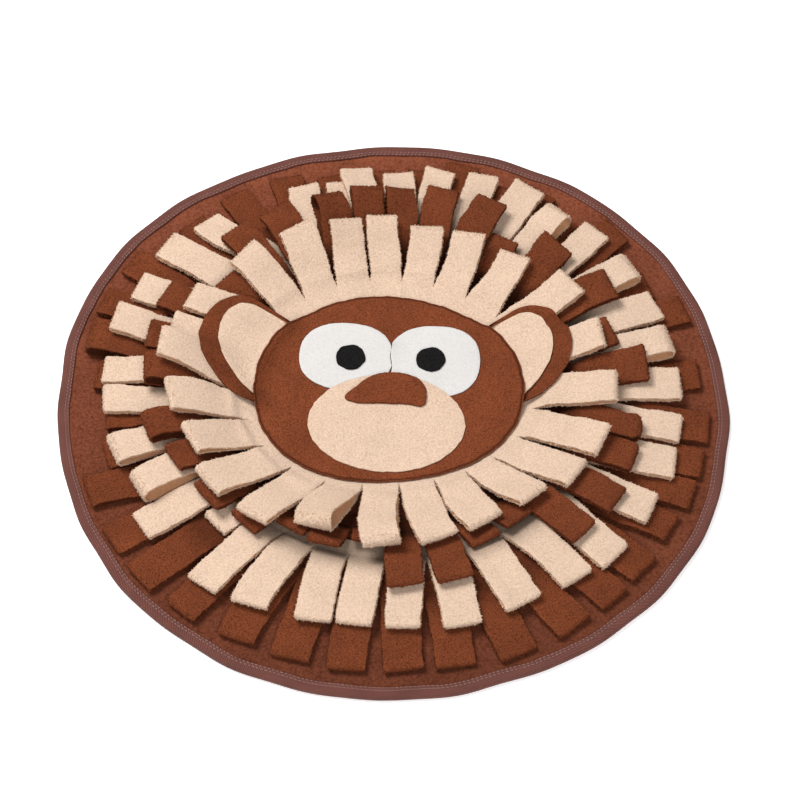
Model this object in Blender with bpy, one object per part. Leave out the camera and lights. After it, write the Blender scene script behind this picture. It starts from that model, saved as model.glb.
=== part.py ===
"""A round snuffle mat: a bound base cloth, four rings of folded fleece strips and an appliqued face.

Metres, +Z up.  The origin is the middle of the mat's underside, and the face's chin points to -Y.
Each ring is one band of fleece folded double, sewn down by its raw edges and slit from the fold, so
every strip is a flat loop.  The strips are laid one by one on a height map of what is under them.
"""

import math
from typing import NamedTuple

import bmesh
import bpy
import numpy as np

MM = 0.001
GAP = 0.3 * MM  # between two pieces that lie on each other
TO_ORIGIN = np.array((0.37, 2.16)) * MM  # from the middle the tables are measured from

# The round base cloth and its binding tape.
MAT_RADIUS = 250.2 * MM
OUTLINE_WAVES = ((1, 1.2, 117), (2, 1.6, 49), (3, 1.1, -81), (4, 1.9, 148), (6, 0.5, -161))
BASE_THICK = 3.0 * MM
BASE_INSET = 1.4 * MM  # from the tape's outside to the cloth's cut edge
RIM_LIFT = 1.2 * MM  # the cloth's edge stands on the tape's under limb
RIM_START = 14 * MM  # how far in the cloth starts to rise
TAPE_WIDTH = 9.5 * MM  # of each limb, measured in from the rim
TAPE_THICK = 0.9 * MM
RIM_STEPS = 40

# Fleece.
FLEECE = 1.8 * MM
SLIT = 0.9 * MM  # width of a cut between two strips at its inner end
LAY_CLEAR = 0.6 * MM  # between a strip and what it lies on
LANE = 18 * MM  # a strip keeps inside its own lane this far from its root
LANE_MARGIN = 1.8 * MM
GAPE_START = 0.25  # the two layers part from this share of a strip's length
GAPE_FULL = 0.75  # to this one
LOOSE = 5  # a strip that gapes more than this, mm, lies on top of its neighbours
STRIP_LOW = 3.3 * MM  # the lowest a strip's end may lie
LEANS = np.linspace(-0.35, 0.35, 15)  # slopes across a strip that are tried
CROWD = 2  # cuts follow the tips' crowding averaged over this many strips on each side

# The face: an oval cloth with cut-out pieces sewn on it.  Its outline is a mean radius and waves.
FACE_CENTRE = np.array((-1.7, 7.0)) * MM
FACE_RADIUS = 92.3 * MM
FACE_WAVES = ((1, 3.4, 136), (2, 8.0, 0), (3, 1.8, 53))
FACE_EDGE_Z = 9.6 * MM  # underside of the face at its edge
FACE_SAG = 1.5 * MM
PATCH_THICK = 1.2 * MM  # felt and thin fleece cut-outs
PATCH_CLEAR = 0.4 * MM
LEFT_EYE = (-35.5, 34, 35, 30)  # middle x and y, half width, half height, mm
RIGHT_EYE = (30.5, 29.5, 34.5, 32)
EYE_DIVIDE = -1.5  # x at which the two eyes are cut off against each other, mm
PUPIL_RADIUS = 11.0  # mm
PUPILS = ((-32, 32), (28, 30))
MUZZLE = (-5, -27, 58, 43)
NOSE = (-4.5, 1, 30, 15.5)
NOSE_UNDER = 0.75  # its lower half is this much flatter
NOSE_HOLLOW = 0.7  # and this share of that is bent away in the middle
FACE_TURN = -3.0  # the features sit a little turned on the face, degrees

# Ears: each is sewn in along the face's edge between two angles about the face's centre.
EAR_GAP = 1.0 * MM  # from the face's edge
EAR_CLEAR = 1.5 * MM  # over the strips
INNER_EAR_INSET = 7.0  # mm


class Strip(NamedTuple):
    """One strip: where its fold lies, seen from above."""

    tip: float  # direction of the fold's middle from the mat's middle, degrees
    reach: float  # its distance from the mat's middle, mm
    turn: float  # how far the strip's end is turned from pointing straight out, degrees
    width: float  # mm
    gape: float  # how far the two layers stand apart, mm


class Ring(NamedTuple):
    """One folded band, sewn down along its seam."""

    name: str
    finish: str
    centre: tuple  # mm
    seam: float  # radius of the band's inner edge, mm, or 0 where it follows the face
    slit: float  # from there to the inner end of the slits, mm
    slit_wave: float  # how much longer that is at the forehead, and shorter at the chin, mm
    root: float  # height of the band's underside at the slits, mm
    seam_root: float  # and at the seam, mm
    arch: float  # the most a strip bows up between its ends, mm
    cloth: float  # length of cloth from the slits to the fold, mm
    sections: int
    strips: tuple


# Material slots: colour and roughness.
FINISHES = {
    "brown_fleece": ((0.19, 0.055, 0.025, 1), 0.95),
    "cream_fleece": ((0.80, 0.62, 0.44, 1), 0.95),
    "base_felt": ((0.16, 0.05, 0.024, 1), 0.95),
    "white_felt": ((0.85, 0.84, 0.85, 1), 0.95),
    "black_felt": ((0.012, 0.012, 0.012, 1), 0.95),
    "binding_tape": ((0.125, 0.05, 0.045, 1), 0.8),
}

OUTER = (
    Strip(353, 235, 0, 28, 1), Strip(345, 234, 2, 26, 1), Strip(338, 234, 2, 26, 1),
    Strip(330, 231, -1, 26, 1), Strip(320, 233, -4, 28, 1), Strip(312, 234, 0, 27, 1),
    Strip(303, 234, 6, 29, 1), Strip(292, 235, 3, 29, 1), Strip(281, 231, -2, 29, 1),
    Strip(272, 230, 6, 29, 1), Strip(262, 232, 4, 28, 1), Strip(252, 232, 4, 29, 1),
    Strip(242, 233, 8, 29, 1), Strip(231, 237, 0, 27, 2), Strip(221, 239, 0, 29, 1),
    Strip(212, 238, 1, 27, 1), Strip(201, 237, 0, 28, 2), Strip(194, 217, 5, 27, 2),
    Strip(185, 213, -2, 25, 2), Strip(175, 223, -4, 26, 2), Strip(167, 236, 3, 28, 9),
    Strip(158, 240, 1, 26, 1), Strip(148, 240, 2, 27, 1), Strip(141, 227, 1, 25, 2),
    Strip(134, 229, -2, 26, 1), Strip(123, 232, -2, 26, 1), Strip(112, 229, -10, 27, 1),
    Strip(103, 219, 0, 25, 1), Strip(93, 218, 0, 25, 2), Strip(84, 219, 0, 25, 2),
    Strip(76, 231, 0, 27, 1), Strip(67, 219, 0, 25, 2), Strip(59, 229, -5, 26, 1),
    Strip(51, 216, 0, 25, 2), Strip(42, 236, -5, 28, 1),
    Strip(28, 222, -7, 27, 1), Strip(20, 237, -1, 27, 1), Strip(13, 214, -1, 25, 2),
    Strip(5, 230, -1, 27, 1),
)
SECOND = (
    Strip(2, 214, 0, 30, 1), Strip(351, 214, -2, 25, 1), Strip(343, 215, 8, 28, 1),
    Strip(331, 213, 5, 27, 1), Strip(318, 213, -1, 28, 1), Strip(309, 207, -5, 27, 1),
    Strip(297, 203, 3, 29, 1), Strip(284, 204, -2, 28, 1), Strip(272, 200, -2, 26, 1),
    Strip(262, 199, 0, 27, 1), Strip(254, 202, 9, 27, 1), Strip(241, 208, 12, 28, 1),
    Strip(231, 214, 5, 26, 1), Strip(222, 196, 0, 24, 1), Strip(213, 215, 0, 26, 1),
    Strip(205, 204, 4, 27, 9), Strip(195, 212, 9, 26, 8), Strip(182, 215, 3, 24, 1),
    Strip(175, 217, 0, 24, 1), Strip(163, 221, 4, 27, 2), Strip(153, 220, 6, 27, 1),
    Strip(142, 225, 6, 27, 2), Strip(132, 219, -4, 26, 1), Strip(121, 202, 0, 25, 1),
    Strip(110, 209, -8, 26, 1), Strip(99, 215, -2, 26, 1),
    Strip(89, 210, 6, 25, 1), Strip(80, 217, -10, 25, 1), Strip(71, 221, 4, 25, 1),
    Strip(61, 223, -6, 27, 2), Strip(52, 213, 8, 25, 3), Strip(44, 221, 3, 25, 1),
    Strip(32, 217, -3, 26, 8), Strip(22, 216, 3, 29, 1), Strip(12, 213, 3, 26, 8),
)
THIRD = (
    Strip(348, 186, 6, 25, 1), Strip(340, 189, 0, 25, 2), Strip(328, 190, -2, 26, 1),
    Strip(317, 186, 0, 26, 1), Strip(308, 148, 0, 24, 1), Strip(297, 148, 0, 24, 1),
    Strip(285, 172, 1, 27, 1), Strip(273, 171, 6, 27, 1), Strip(262, 148, 0, 24, 1),
    Strip(250, 154, 6, 25, 2), Strip(239, 148, 0, 24, 1), Strip(228, 160, -4, 27, 1),
    Strip(216, 167, 3, 29, 1), Strip(203, 174, 8, 27, 2), Strip(193, 186, 8, 25, 7),
    Strip(176, 186, 8, 26, 9), Strip(166, 190, 6, 26, 2), Strip(154, 194, 0, 28, 4),
    Strip(142, 165, -2, 24, 1), Strip(130, 193, 1, 27, 2), Strip(119, 193, 6, 28, 1),
    Strip(107, 187, -8, 25, 8), Strip(97, 193, -4, 24, 8), Strip(89, 191, 0, 23, 8),
    Strip(78, 192, -8, 26, 2), Strip(66, 191, -6, 27, 1), Strip(58, 165, -4, 24, 1),
    Strip(46, 184, 0, 28, 1), Strip(29, 190, -8, 29, 2), Strip(17, 173, 5, 27, 1),
    Strip(6, 190, 0, 29, 1),
)
INNER = (
    Strip(358, 166, 0, 29, 2), Strip(340, 163, -5, 28, 2), Strip(328, 157, -3, 27, 2),
    Strip(315, 144, -6, 27, 2), Strip(299, 138, 5, 29, 2), Strip(284, 139, 10, 29, 2),
    Strip(267, 142, 12, 28, 9), Strip(246, 140, 12, 29, 10), Strip(230, 157, 8, 27, 3),
    Strip(214, 162, 6, 29, 3), Strip(201, 159, 10, 28, 3), Strip(186, 167, 9, 29, 3),
    Strip(171, 176, 3, 26, 2), Strip(163, 174, 3, 23, 1), Strip(153, 173, 3, 26, 2),
    Strip(134, 168, 7, 29, 2), Strip(118, 164, 4, 29, 2), Strip(104, 158, -3, 26, 2),
    Strip(93, 155, -3, 25, 2), Strip(80, 152, 9, 26, 3), Strip(67, 153, 10, 26, 2),
    Strip(52, 155, 12, 26, 2), Strip(34, 165, 7, 28, 2), Strip(15, 163, -5, 27, 2),
)

RINGS = (
    Ring("fringe_outer_brown", "brown_fleece", (0, 0), 160, 12, 0, 3.3, 3.3, 3, 62, 2, OUTER),
    Ring("fringe_second_cream", "cream_fleece", (0, 6), 134, 12, 0, 3.3, 3.3, 4, 64, 3, SECOND),
    Ring("fringe_third_brown", "brown_fleece", (-0.5, 6), 113, 11, 0, 3.3, 3.3, 5, 64, 3, THIRD),
    Ring("fringe_inner_cream", "cream_fleece", (-1.7, 7), 0, 16.5, 5, 7.6, 3.6, 9, 62, 4, INNER),
)
FACE_TUCK = 6 * MM  # how far the inner band reaches in under the face


def waves(angle, table):
    """Sum of a table of waves at an angle in radians: (how many round, height in mm, phase)."""
    return sum(h * MM * math.cos(n * angle + math.radians(phase)) for n, h, phase in table)


def direction(angle):
    """Unit vector at an angle in radians."""
    return np.array((math.cos(angle), math.sin(angle)))


def mat_radius(angle):
    """Outside radius of the bound mat."""
    return MAT_RADIUS + waves(angle, OUTLINE_WAVES)


def face_radius(angle):
    """Radius of the face's outline about its own centre."""
    return FACE_RADIUS + waves(angle, FACE_WAVES)


def face_under(x, y):
    """Height of the face's underside, which sags a little towards its middle."""
    across = np.array((x, y)) - FACE_CENTRE
    share = np.hypot(*across) / face_radius(math.atan2(across[1], across[0]))
    return FACE_EDGE_Z - FACE_SAG * (1 - min(1.0, share) ** 2)


class Ear(NamedTuple):
    """An ear's place on the face's edge."""

    name: str
    top: float  # angle at which its steep upper side starts, degrees
    foot: float  # angle at which its long lower side ends
    depth: float  # how far it reaches out from the face, mm


EARS = (Ear("left", 143, 190, 53), Ear("right", 36, -10, 47))


def material(name):
    """A plain Principled material from the table."""
    colour, roughness = FINISHES[name]
    made = bpy.data.materials.new(name)
    made.use_nodes = True
    shader = made.node_tree.nodes["Principled BSDF"]
    shader.inputs["Base Color"].default_value = colour
    shader.inputs["Roughness"].default_value = roughness
    shader.inputs["Metallic"].default_value = 0
    return made


def add_piece(name, points, faces, finish):
    """Make one closed mesh object with its faces pointing out."""
    mesh = bpy.data.meshes.new(name)
    shift = (*TO_ORIGIN, 0)
    mesh.from_pydata([tuple(float(a + b) for a, b in zip(p, shift)) for p in points], [], faces)
    shape = bmesh.new()
    shape.from_mesh(mesh)
    bmesh.ops.triangulate(shape, faces=shape.faces[:])
    bmesh.ops.recalc_face_normals(shape, faces=shape.faces[:])
    shape.to_mesh(mesh)
    shape.free()
    mesh.materials.append(finish)
    made = bpy.data.objects.new(name, mesh)
    bpy.context.scene.collection.objects.link(made)
    return made


class Pile:
    """Height map of all that has been laid down, seen from above."""

    CELL = 1.0 * MM
    HALF = 270 * MM

    def __init__(self):
        """Start with an empty floor."""
        count = int(2 * self.HALF / self.CELL)
        self.top = np.zeros((count, count))

    def cells(self, places):
        """Row and column of each place in an array of (x, y)."""
        found = ((places + self.HALF) / self.CELL).astype(int)
        found = np.clip(found, 1, len(self.top) - 2)
        return found[..., 0], found[..., 1]

    def add(self, places, heights):
        """Raise the map to these heights at these places."""
        rows, columns = self.cells(places)
        np.maximum.at(self.top, (rows.ravel(), columns.ravel()), heights.ravel())

    def at(self, places):
        """Height at each place."""
        return self.top[self.cells(places)]

    def near(self, places):
        """Highest point within a cell or two of each place."""
        rows, columns = self.cells(places)
        found = self.top[rows, columns]
        for i in (-1, 0, 1):
            for j in (-1, 0, 1):
                found = np.maximum(found, self.top[rows + i, columns + j])
        return found

    def add_triangles(self, points, triangles):
        """Raise the map to a surface of triangles."""
        for corners in triangles:
            a, b, c = (np.array(points[i]) for i in corners)
            steps = max(1, int(max(np.abs(b - a).max(), np.abs(c - a).max()) / (0.7 * self.CELL)))
            i, j = np.meshgrid(np.arange(steps + 1), np.arange(steps + 1))
            u, v = i[i + j <= steps] / steps, j[i + j <= steps] / steps
            spots = a + u[:, None] * (b - a) + v[:, None] * (c - a)
            self.add(spots[:, :2], spots[:, 2])

    def add_disc(self, radius, height):
        """Lay down a flat round cloth."""
        axis = (np.arange(len(self.top)) + 0.5) * self.CELL - self.HALF
        x, y = np.meshgrid(axis, axis, indexing="ij")
        inside = np.hypot(x, y) < radius
        self.top[inside] = np.maximum(self.top[inside], height)


def lay(pile, places, heights, triangles, clear):
    """Lift a cloth of triangles until all of it clears the pile; returns its heights."""
    heights = np.array(heights, float)
    tests = []
    for corners in triangles:
        a, b, c = (np.array(places[i]) for i in corners)
        steps = max(2, int(max(np.abs(b - a).max(), np.abs(c - a).max()) / (1.5 * pile.CELL)))
        i, j = np.meshgrid(np.arange(steps + 1), np.arange(steps + 1))
        u, v = i[i + j <= steps] / steps, j[i + j <= steps] / steps
        spots = a + u[:, None] * (b - a) + v[:, None] * (c - a)
        shares = np.stack((1 - u - v, u, v), 1)
        tests.append((list(corners), shares, pile.near(spots) + clear))
    for _ in range(120):
        worst = 0.0
        for corners, shares, floor in tests:
            short = floor - shares @ heights[corners]
            k = short.argmax()
            if short[k] > 1e-6:
                worst = max(worst, short[k])
                heights[corners] += short[k] * shares[k] / (shares[k] ** 2).sum()
        if worst < 0.01 * MM:
            break
    return heights


def ring_edge(ring, angle, share):
    """Point of a ring's band at an angle about its centre, a share of the way to its slits."""
    out = share * (ring.slit + ring.slit_wave * math.sin(angle))
    if ring.seam:
        radius = (ring.seam + out) * MM
    else:
        radius = face_radius(angle) - FACE_TUCK + out * MM
    return np.array(ring.centre) * MM + radius * direction(angle)


def root_cuts(ring):
    """Angle about the ring's centre of the cut before each strip, and of the last one's end.

    The strips share the band evenly, and where the tips crowd or spread over several strips the
    cuts do too, as cuts made by eye.
    """
    steps = np.radians(np.arange(0, 361))
    line = np.array([ring_edge(ring, a, 1) for a in steps])
    length = np.concatenate(([0], np.cumsum(np.hypot(*np.diff(line, axis=0).T))))
    around = length[-1]
    count = len(ring.strips)
    tips = np.array([s.reach * MM * direction(math.radians(s.tip)) for s in ring.strips])
    tips = tips - np.array(ring.centre) * MM
    wanted = np.interp(np.arctan2(tips[:, 1], tips[:, 0]) % (2 * math.pi), steps, length)
    even = -np.arange(count) * around / count
    drift = wanted - even
    drift = (drift - drift[0] + around / 2) % around - around / 2 + drift[0]
    ends = np.concatenate((drift[-CROWD:], drift, drift[:CROWD]))
    smooth = np.convolve(ends, np.full(2 * CROWD + 1, 1 / (2 * CROWD + 1)), "valid")
    middles = even + smooth
    before = (np.append(middles[-1] + around, middles[:-1]) + middles) / 2
    along = np.append(before, before[0] - around)
    return np.interp(along % around, length, steps)


def plan_of(ring, strip, before, after):
    """Left and right edges of a strip from its root to its fold, seen from above.

    Returns two arrays of points, one row for each section and a last one at the fold, and the
    share of the length at each.
    """
    left = ring_edge(ring, before, 1)
    right = ring_edge(ring, after, 1)
    across = (left - right) / np.hypot(*(left - right))
    left = left - across * SLIT / 2
    right = right + across * SLIT / 2
    start = (left + right) / 2
    outward = np.array((across[1], -across[0]))
    end = strip.reach * MM * direction(math.radians(strip.tip))
    facing = direction(math.radians(strip.tip + strip.turn))
    reach = np.hypot(*(end - start))
    fold = (FLEECE + strip.gape * MM / 2) / reach
    shares = np.append(np.linspace(0, 1 - fold, ring.sections + 1), 1)
    t = shares[:, None]
    middle = (
        (2 * t**3 - 3 * t**2 + 1) * start
        + (t**3 - 2 * t**2 + t) * reach * outward
        + (3 * t**2 - 2 * t**3) * end
        + (t**3 - t**2) * reach * facing
    )
    ahead = (
        (6 * t**2 - 6 * t) * start
        + (3 * t**2 - 4 * t + 1) * reach * outward
        + (6 * t - 6 * t**2) * end
        + (3 * t**2 - 2 * t) * reach * facing
    )
    ahead = ahead / np.hypot(ahead[:, 0], ahead[:, 1])[:, None]
    side = np.stack((-ahead[:, 1], ahead[:, 0]), 1)
    side[0] = across
    root_width = np.hypot(*(left - right))
    width = root_width + (strip.width * MM - root_width) * np.minimum(1, 2 * t)
    return middle + side * width / 2, middle - side * width / 2, shares


def stretches(left, right):
    """Straight lines across a strip, every cell or two from its root to its fold.

    Returns the two ends of each line, and the section that it follows with its share of the way
    to the next one.
    """
    lines, where = [], []
    for k in range(len(left) - 1):
        length = np.hypot(*((left[k + 1] + right[k + 1] - left[k] - right[k]) / 2))
        for f in np.linspace(0, 1, max(2, int(length / (1.5 * Pile.CELL))) + 1)[1:]:
            ends = ((1 - f) * left[k] + f * left[k + 1], (1 - f) * right[k] + f * right[k + 1])
            lines.append(ends)
            where.append((k, f))
    return np.array(lines), where


def leaning(shares):
    """How much of a strip's lean it has at each share of its length: none at its root."""
    return np.clip(np.asarray(shares) * 1.6 - 0.3, 0, 1)


def bowed(ring, shares, reach, floor):
    """Heights along a strip that bows up between its sewn root and what its end lies on."""
    slack = max(0.0, ring.cloth * MM - reach)
    bow = min(ring.arch * MM, math.sqrt(3 * reach * slack / 8))
    root = ring.root * MM
    end = max(floor, STRIP_LOW)
    return root + (end - root) * shares + 4 * bow * shares * (1 - shares)


def lifted(height, where, low):
    """Raise a strip's heights until every line across it clears low; the root stays down."""
    height = np.array(height)
    for _ in range(200):
        worst = 0.0
        for (k, f), floor in zip(where, low):
            short = floor - ((1 - f) * height[k] + f * height[k + 1])
            if short <= 1e-6:
                continue
            worst = max(worst, short)
            if k == 0:
                height[1] += short / max(f, 0.25)
            else:
                spread = (1 - f) ** 2 + f**2
                height[k] += short * (1 - f) / spread
                height[k + 1] += short * f / spread
        if worst < 0.02 * MM:
            break
    return height


def settle(ring, pile, laid, plan, thick):
    """Lay a strip on the pile; returns the heights of its underside at the left and the right.

    It leans across to lie as low as it can, and each stretch between two sections is then lifted
    until it clears all that is under it.  pile holds the finished rings and laid the strips of
    this one, which may lie close beside it.
    """
    left, right, shares = plan
    lines, where = stretches(left, right)
    middle = lines.mean(axis=1)
    half = (lines[:, 0] - lines[:, 1]) / 2
    size = np.hypot(half[:, 0], half[:, 1])
    start = (left[0] + right[0]) / 2
    run = np.hypot(*(middle - start).T)
    lane = size - np.where(run < LANE, LANE_MARGIN, 0)
    offset = lane[:, None] * np.linspace(-1, 1, 19)[None, :]
    places = middle[:, None, :] + (half / size[:, None])[:, None, :] * offset[..., None]
    need = np.maximum(pile.near(places), laid.at(places)) + LAY_CLEAR
    share = np.array([shares[k] + f * (shares[k + 1] - shares[k]) for k, f in where])
    grown = leaning(share)[:, None]
    trials = [(need - lean * grown * offset).max(axis=1) for lean in LEANS]
    costs = [low[share > 0.5].mean() + 0.002 * abs(lean) for low, lean in zip(trials, LEANS)]
    best = int(np.argmin(costs))
    reach = np.hypot(*((left[-1] + right[-1]) / 2 - start))
    height = lifted(bowed(ring, shares, reach, trials[best][-1]), where, trials[best])
    tilt = LEANS[best] * leaning(shares) * np.hypot(*(left - right).T) / 2
    f = np.linspace(0, 1, 31)[:, None]
    for across in np.linspace(0, 1, 15):
        spots = right + (left - right) * across
        top = height + tilt * (2 * across - 1) + thick
        for k in range(len(shares) - 1):
            laid.add((1 - f) * spots[k] + f * spots[k + 1], ((1 - f) * top[k] + f * top[k + 1])[:, 0])
    return height + tilt, height - tilt


def lay_ring(ring, plans, pile):
    """Lay a ring's strips and its band; returns each strip's heights and the gap in its loop."""
    laid = Pile()
    heights = [None] * len(plans)
    order = sorted(range(len(plans)), key=lambda i: (ring.strips[i].gape > LOOSE, ring.strips[i].reach))
    for i in order:
        shares = plans[i][2]
        parted = np.clip((shares - GAPE_START) / (GAPE_FULL - GAPE_START), 0.1, 1)
        gap = ring.strips[i].gape * MM * parted
        gap[0] = 0
        heights[i] = (*settle(ring, pile, laid, plans[i], 2 * FLEECE + gap), gap)
    pile.top = np.maximum(pile.top, laid.top)
    for angle in np.radians(np.arange(0, 360, 0.25)):
        for share in np.linspace(0, 1, int(1.5 * ring.slit)):
            low = ring.seam_root + share * (ring.root - ring.seam_root)
            spot = ring_edge(ring, angle, share)
            pile.add(spot[None], np.array([low * MM + 2 * FLEECE]))
    return heights


def comb(ring, pile, finish):
    """Build one ring: the sewn band and all its strips as one solid."""
    cuts = root_cuts(ring)
    count = len(ring.strips)
    n = ring.sections
    plans = [plan_of(ring, s, cuts[i], cuts[i + 1]) for i, s in enumerate(ring.strips)]
    heights = lay_ring(ring, plans, pile)
    points, faces = [], []

    def put(*places):
        """Add points and return their numbers."""
        points.extend(places)
        return list(range(len(points) - len(places), len(points)))

    seam = []
    for i in range(count):
        x, y = ring_edge(ring, cuts[i], 0)
        low = ring.seam_root * MM
        seam.append(put((x, y, low), (x, y, low + 2 * FLEECE)))
    roots = []
    for (left, right, _), (low_left, low_right, gap) in zip(plans, heights):

        def row(k, rise):
            """Two points across the strip at section k, rise above its underside."""
            return put((*left[k], low_left[k] + rise), (*right[k], low_right[k] + rise))

        under = [row(k, 0) for k in range(n + 1)]
        over = [row(k, 2 * FLEECE + gap[k]) for k in range(n + 1)]
        fold = row(n + 1, FLEECE + gap[n] / 2)
        start = row(1, FLEECE + gap[1] / 2)
        floor = {k: row(k, FLEECE) for k in range(2, n + 1)}
        ceiling = {k: row(k, FLEECE + gap[k]) for k in range(2, n + 1)}
        floor[1] = ceiling[1] = start
        for k in range(n):
            faces.append([under[k][0], under[k][1], under[k + 1][1], under[k + 1][0]])
            faces.append([over[k][0], over[k + 1][0], over[k + 1][1], over[k][1]])
        faces.append([under[n][0], under[n][1], fold[1], fold[0]])
        faces.append([fold[0], fold[1], over[n][1], over[n][0]])
        for k in range(1, n):
            faces.append([floor[k][0], floor[k + 1][0], floor[k + 1][1], floor[k][1]])
            faces.append([ceiling[k][0], ceiling[k][1], ceiling[k + 1][1], ceiling[k + 1][0]])
        faces.append([floor[n][0], ceiling[n][0], ceiling[n][1], floor[n][1]])
        for side in (0, 1):
            loops = [[under[0], under[1], start, over[1], over[0]]]
            loops.append([under[1], under[2], floor[2], start])
            loops.append([start, ceiling[2], over[2], over[1]])
            for k in range(2, n):
                loops.append([under[k], under[k + 1], floor[k + 1], floor[k]])
                loops.append([ceiling[k], ceiling[k + 1], over[k + 1], over[k]])
            loops.append([under[n], fold, over[n], ceiling[n], floor[n]])
            faces.extend([p[side] for p in (loop if side else loop[::-1])] for loop in loops)
        roots.append((under[0], over[0]))
    for i in range(count):
        (low, high), after = roots[i], roots[(i + 1) % count]
        here, there = seam[i], seam[(i + 1) % count]
        faces.append([here[0], there[0], low[1], low[0]])
        faces.append([here[1], high[0], high[1], there[1]])
        faces.append([there[0], after[0][0], low[1]])
        faces.append([there[1], high[1], after[1][0]])
        faces.append([low[1], after[0][0], after[1][0], high[1]])
        faces.append([here[0], here[1], there[1], there[0]])
    return add_piece(ring.name, points, faces, finish)


def base_cloth(finish):
    """The round base cloth: flat, its edge a little raised on the tape's under limb."""
    points = [(0, 0, 0), (0, 0, BASE_THICK)]
    faces = []
    for i in range(RIM_STEPS):
        angle = 2 * math.pi * i / RIM_STEPS
        rim = mat_radius(angle) - BASE_INSET
        for radius, lift in ((rim - RIM_START, 0), (rim, RIM_LIFT)):
            x, y = radius * direction(angle)
            points += [(x, y, lift), (x, y, lift + BASE_THICK)]
        a, b = 2 + 4 * i, 2 + 4 * ((i + 1) % RIM_STEPS)
        faces += [[0, b, a], [1, a + 1, b + 1]]
        faces += [[a, b, b + 2, a + 2], [a + 1, a + 3, b + 3, b + 1], [a + 2, b + 2, b + 3, a + 3]]
    return add_piece("base_cloth", points, faces, finish)


def binding_tape(finish):
    """The tape folded over the rim: an upper limb, an outer wall and an under limb."""
    inner = TAPE_WIDTH
    wall = TAPE_THICK
    top = BASE_THICK + RIM_LIFT + GAP
    slope = RIM_LIFT * (TAPE_WIDTH - BASE_INSET) / RIM_START
    low = RIM_LIFT - slope - GAP
    section = (
        (inner, 0), (0, 0), (0, top + wall), (inner, top + wall - slope),
        (inner, top - slope), (wall, top), (wall, RIM_LIFT - GAP), (inner, low),
    )
    count = len(section)
    points, faces = [], []
    for i in range(RIM_STEPS):
        angle = 2 * math.pi * i / RIM_STEPS
        for inset, height in section:
            x, y = (mat_radius(angle) - inset) * direction(angle)
            points.append((x, y, height))
        a, b = count * i, count * ((i + 1) % RIM_STEPS)
        for k in range(count):
            m = (k + 1) % count
            faces.append([a + k, b + k, b + m, a + m])
    return add_piece("binding_tape", points, faces, finish)


def disc_sheet(name, outline, middle, count, scales, under, thick, finish, pile=None):
    """A thin cloth with the given outline on a surface given by under(x, y).

    outline(angle) gives a point of the edge and the cloth is filled in rings towards its middle.
    With a pile it is lifted clear of what lies there, and is then part of the pile itself.
    """
    places = [np.array(middle)]
    for scale in scales:
        for i in range(count):
            edge = outline(2 * math.pi * i / count)
            places.append(places[0] + scale * (edge - places[0]))
    triangles = []
    for i in range(count):
        j = (i + 1) % count
        triangles.append((0, 1 + i, 1 + j))
        for r in range(len(scales) - 1):
            a, b = 1 + r * count, 1 + (r + 1) * count
            triangles += [(a + i, b + i, b + j), (a + i, b + j, a + j)]
    rim = [1 + (len(scales) - 1) * count + i for i in range(count)]
    heights = [under(*p) for p in places]
    return closed_sheet(name, places, heights, triangles, rim, thick, finish, pile)


def closed_sheet(name, places, heights, triangles, rim, thick, finish, pile, clear=PATCH_CLEAR):
    """Give a sheet of triangles its thickness, and lay it on the pile if there is one."""
    if pile is not None:
        heights = lay(pile, places, heights, triangles, clear)
    total = len(places)
    points = [(p[0], p[1], h) for p, h in zip(places, heights)]
    points += [(p[0], p[1], h + thick) for p, h in zip(places, heights)]
    faces = [list(t[::-1]) for t in triangles]
    upper = [[v + total for v in t] for t in triangles]
    for a, b in zip(rim, rim[1:] + rim[:1]):
        faces.append([a, b, b + total, a + total])
    if pile is not None:
        pile.add_triangles(points, upper)
    return add_piece(name, points, faces + upper, finish)


def on_face(x0, y0, x, y):
    """Point at x, y mm from a feature's middle, turned with the face."""
    turn = math.radians(FACE_TURN)
    across = x * math.cos(turn) - y * math.sin(turn)
    up = x * math.sin(turn) + y * math.cos(turn)
    return np.array((x0 + across, y0 + up)) * MM


def oval(place, square=1.0):
    """Outline of an oval given as middle x and y, half width and half height in mm.

    square under 1 makes its corners fuller.
    """
    x0, y0, half_width, half_height = place

    def edge(angle):
        c, s = math.cos(angle), math.sin(angle)
        x = half_width * math.copysign(abs(c) ** square, c)
        y = half_height * math.copysign(abs(s) ** square, s)
        return on_face(x0, y0, x, y)

    return edge


def cut_off(outline, limit, side):
    """The outline with all that lies past x = limit moved back to it."""

    def edge(angle):
        x, y = outline(angle)
        return np.array((side * min(side * x, side * limit), y))

    return edge


def nose_edge(angle):
    """The nose: a rounded cap over a flatter lower edge that bends up in the middle."""
    x0, y0, half_width, half_height = NOSE
    c, s = math.cos(angle), math.sin(angle)
    flatter = 1.0 if s > 0 else NOSE_UNDER * (1 - NOSE_HOLLOW * s * s)
    return on_face(x0, y0, half_width * c, half_height * s * flatter)


def ear_depth(share):
    """How far an ear reaches out, of 1, along its seam: steep at the top and long at the foot."""
    return math.sin(math.pi * share**0.75) ** 0.8 if 0 < share < 1 else 0.0


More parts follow.
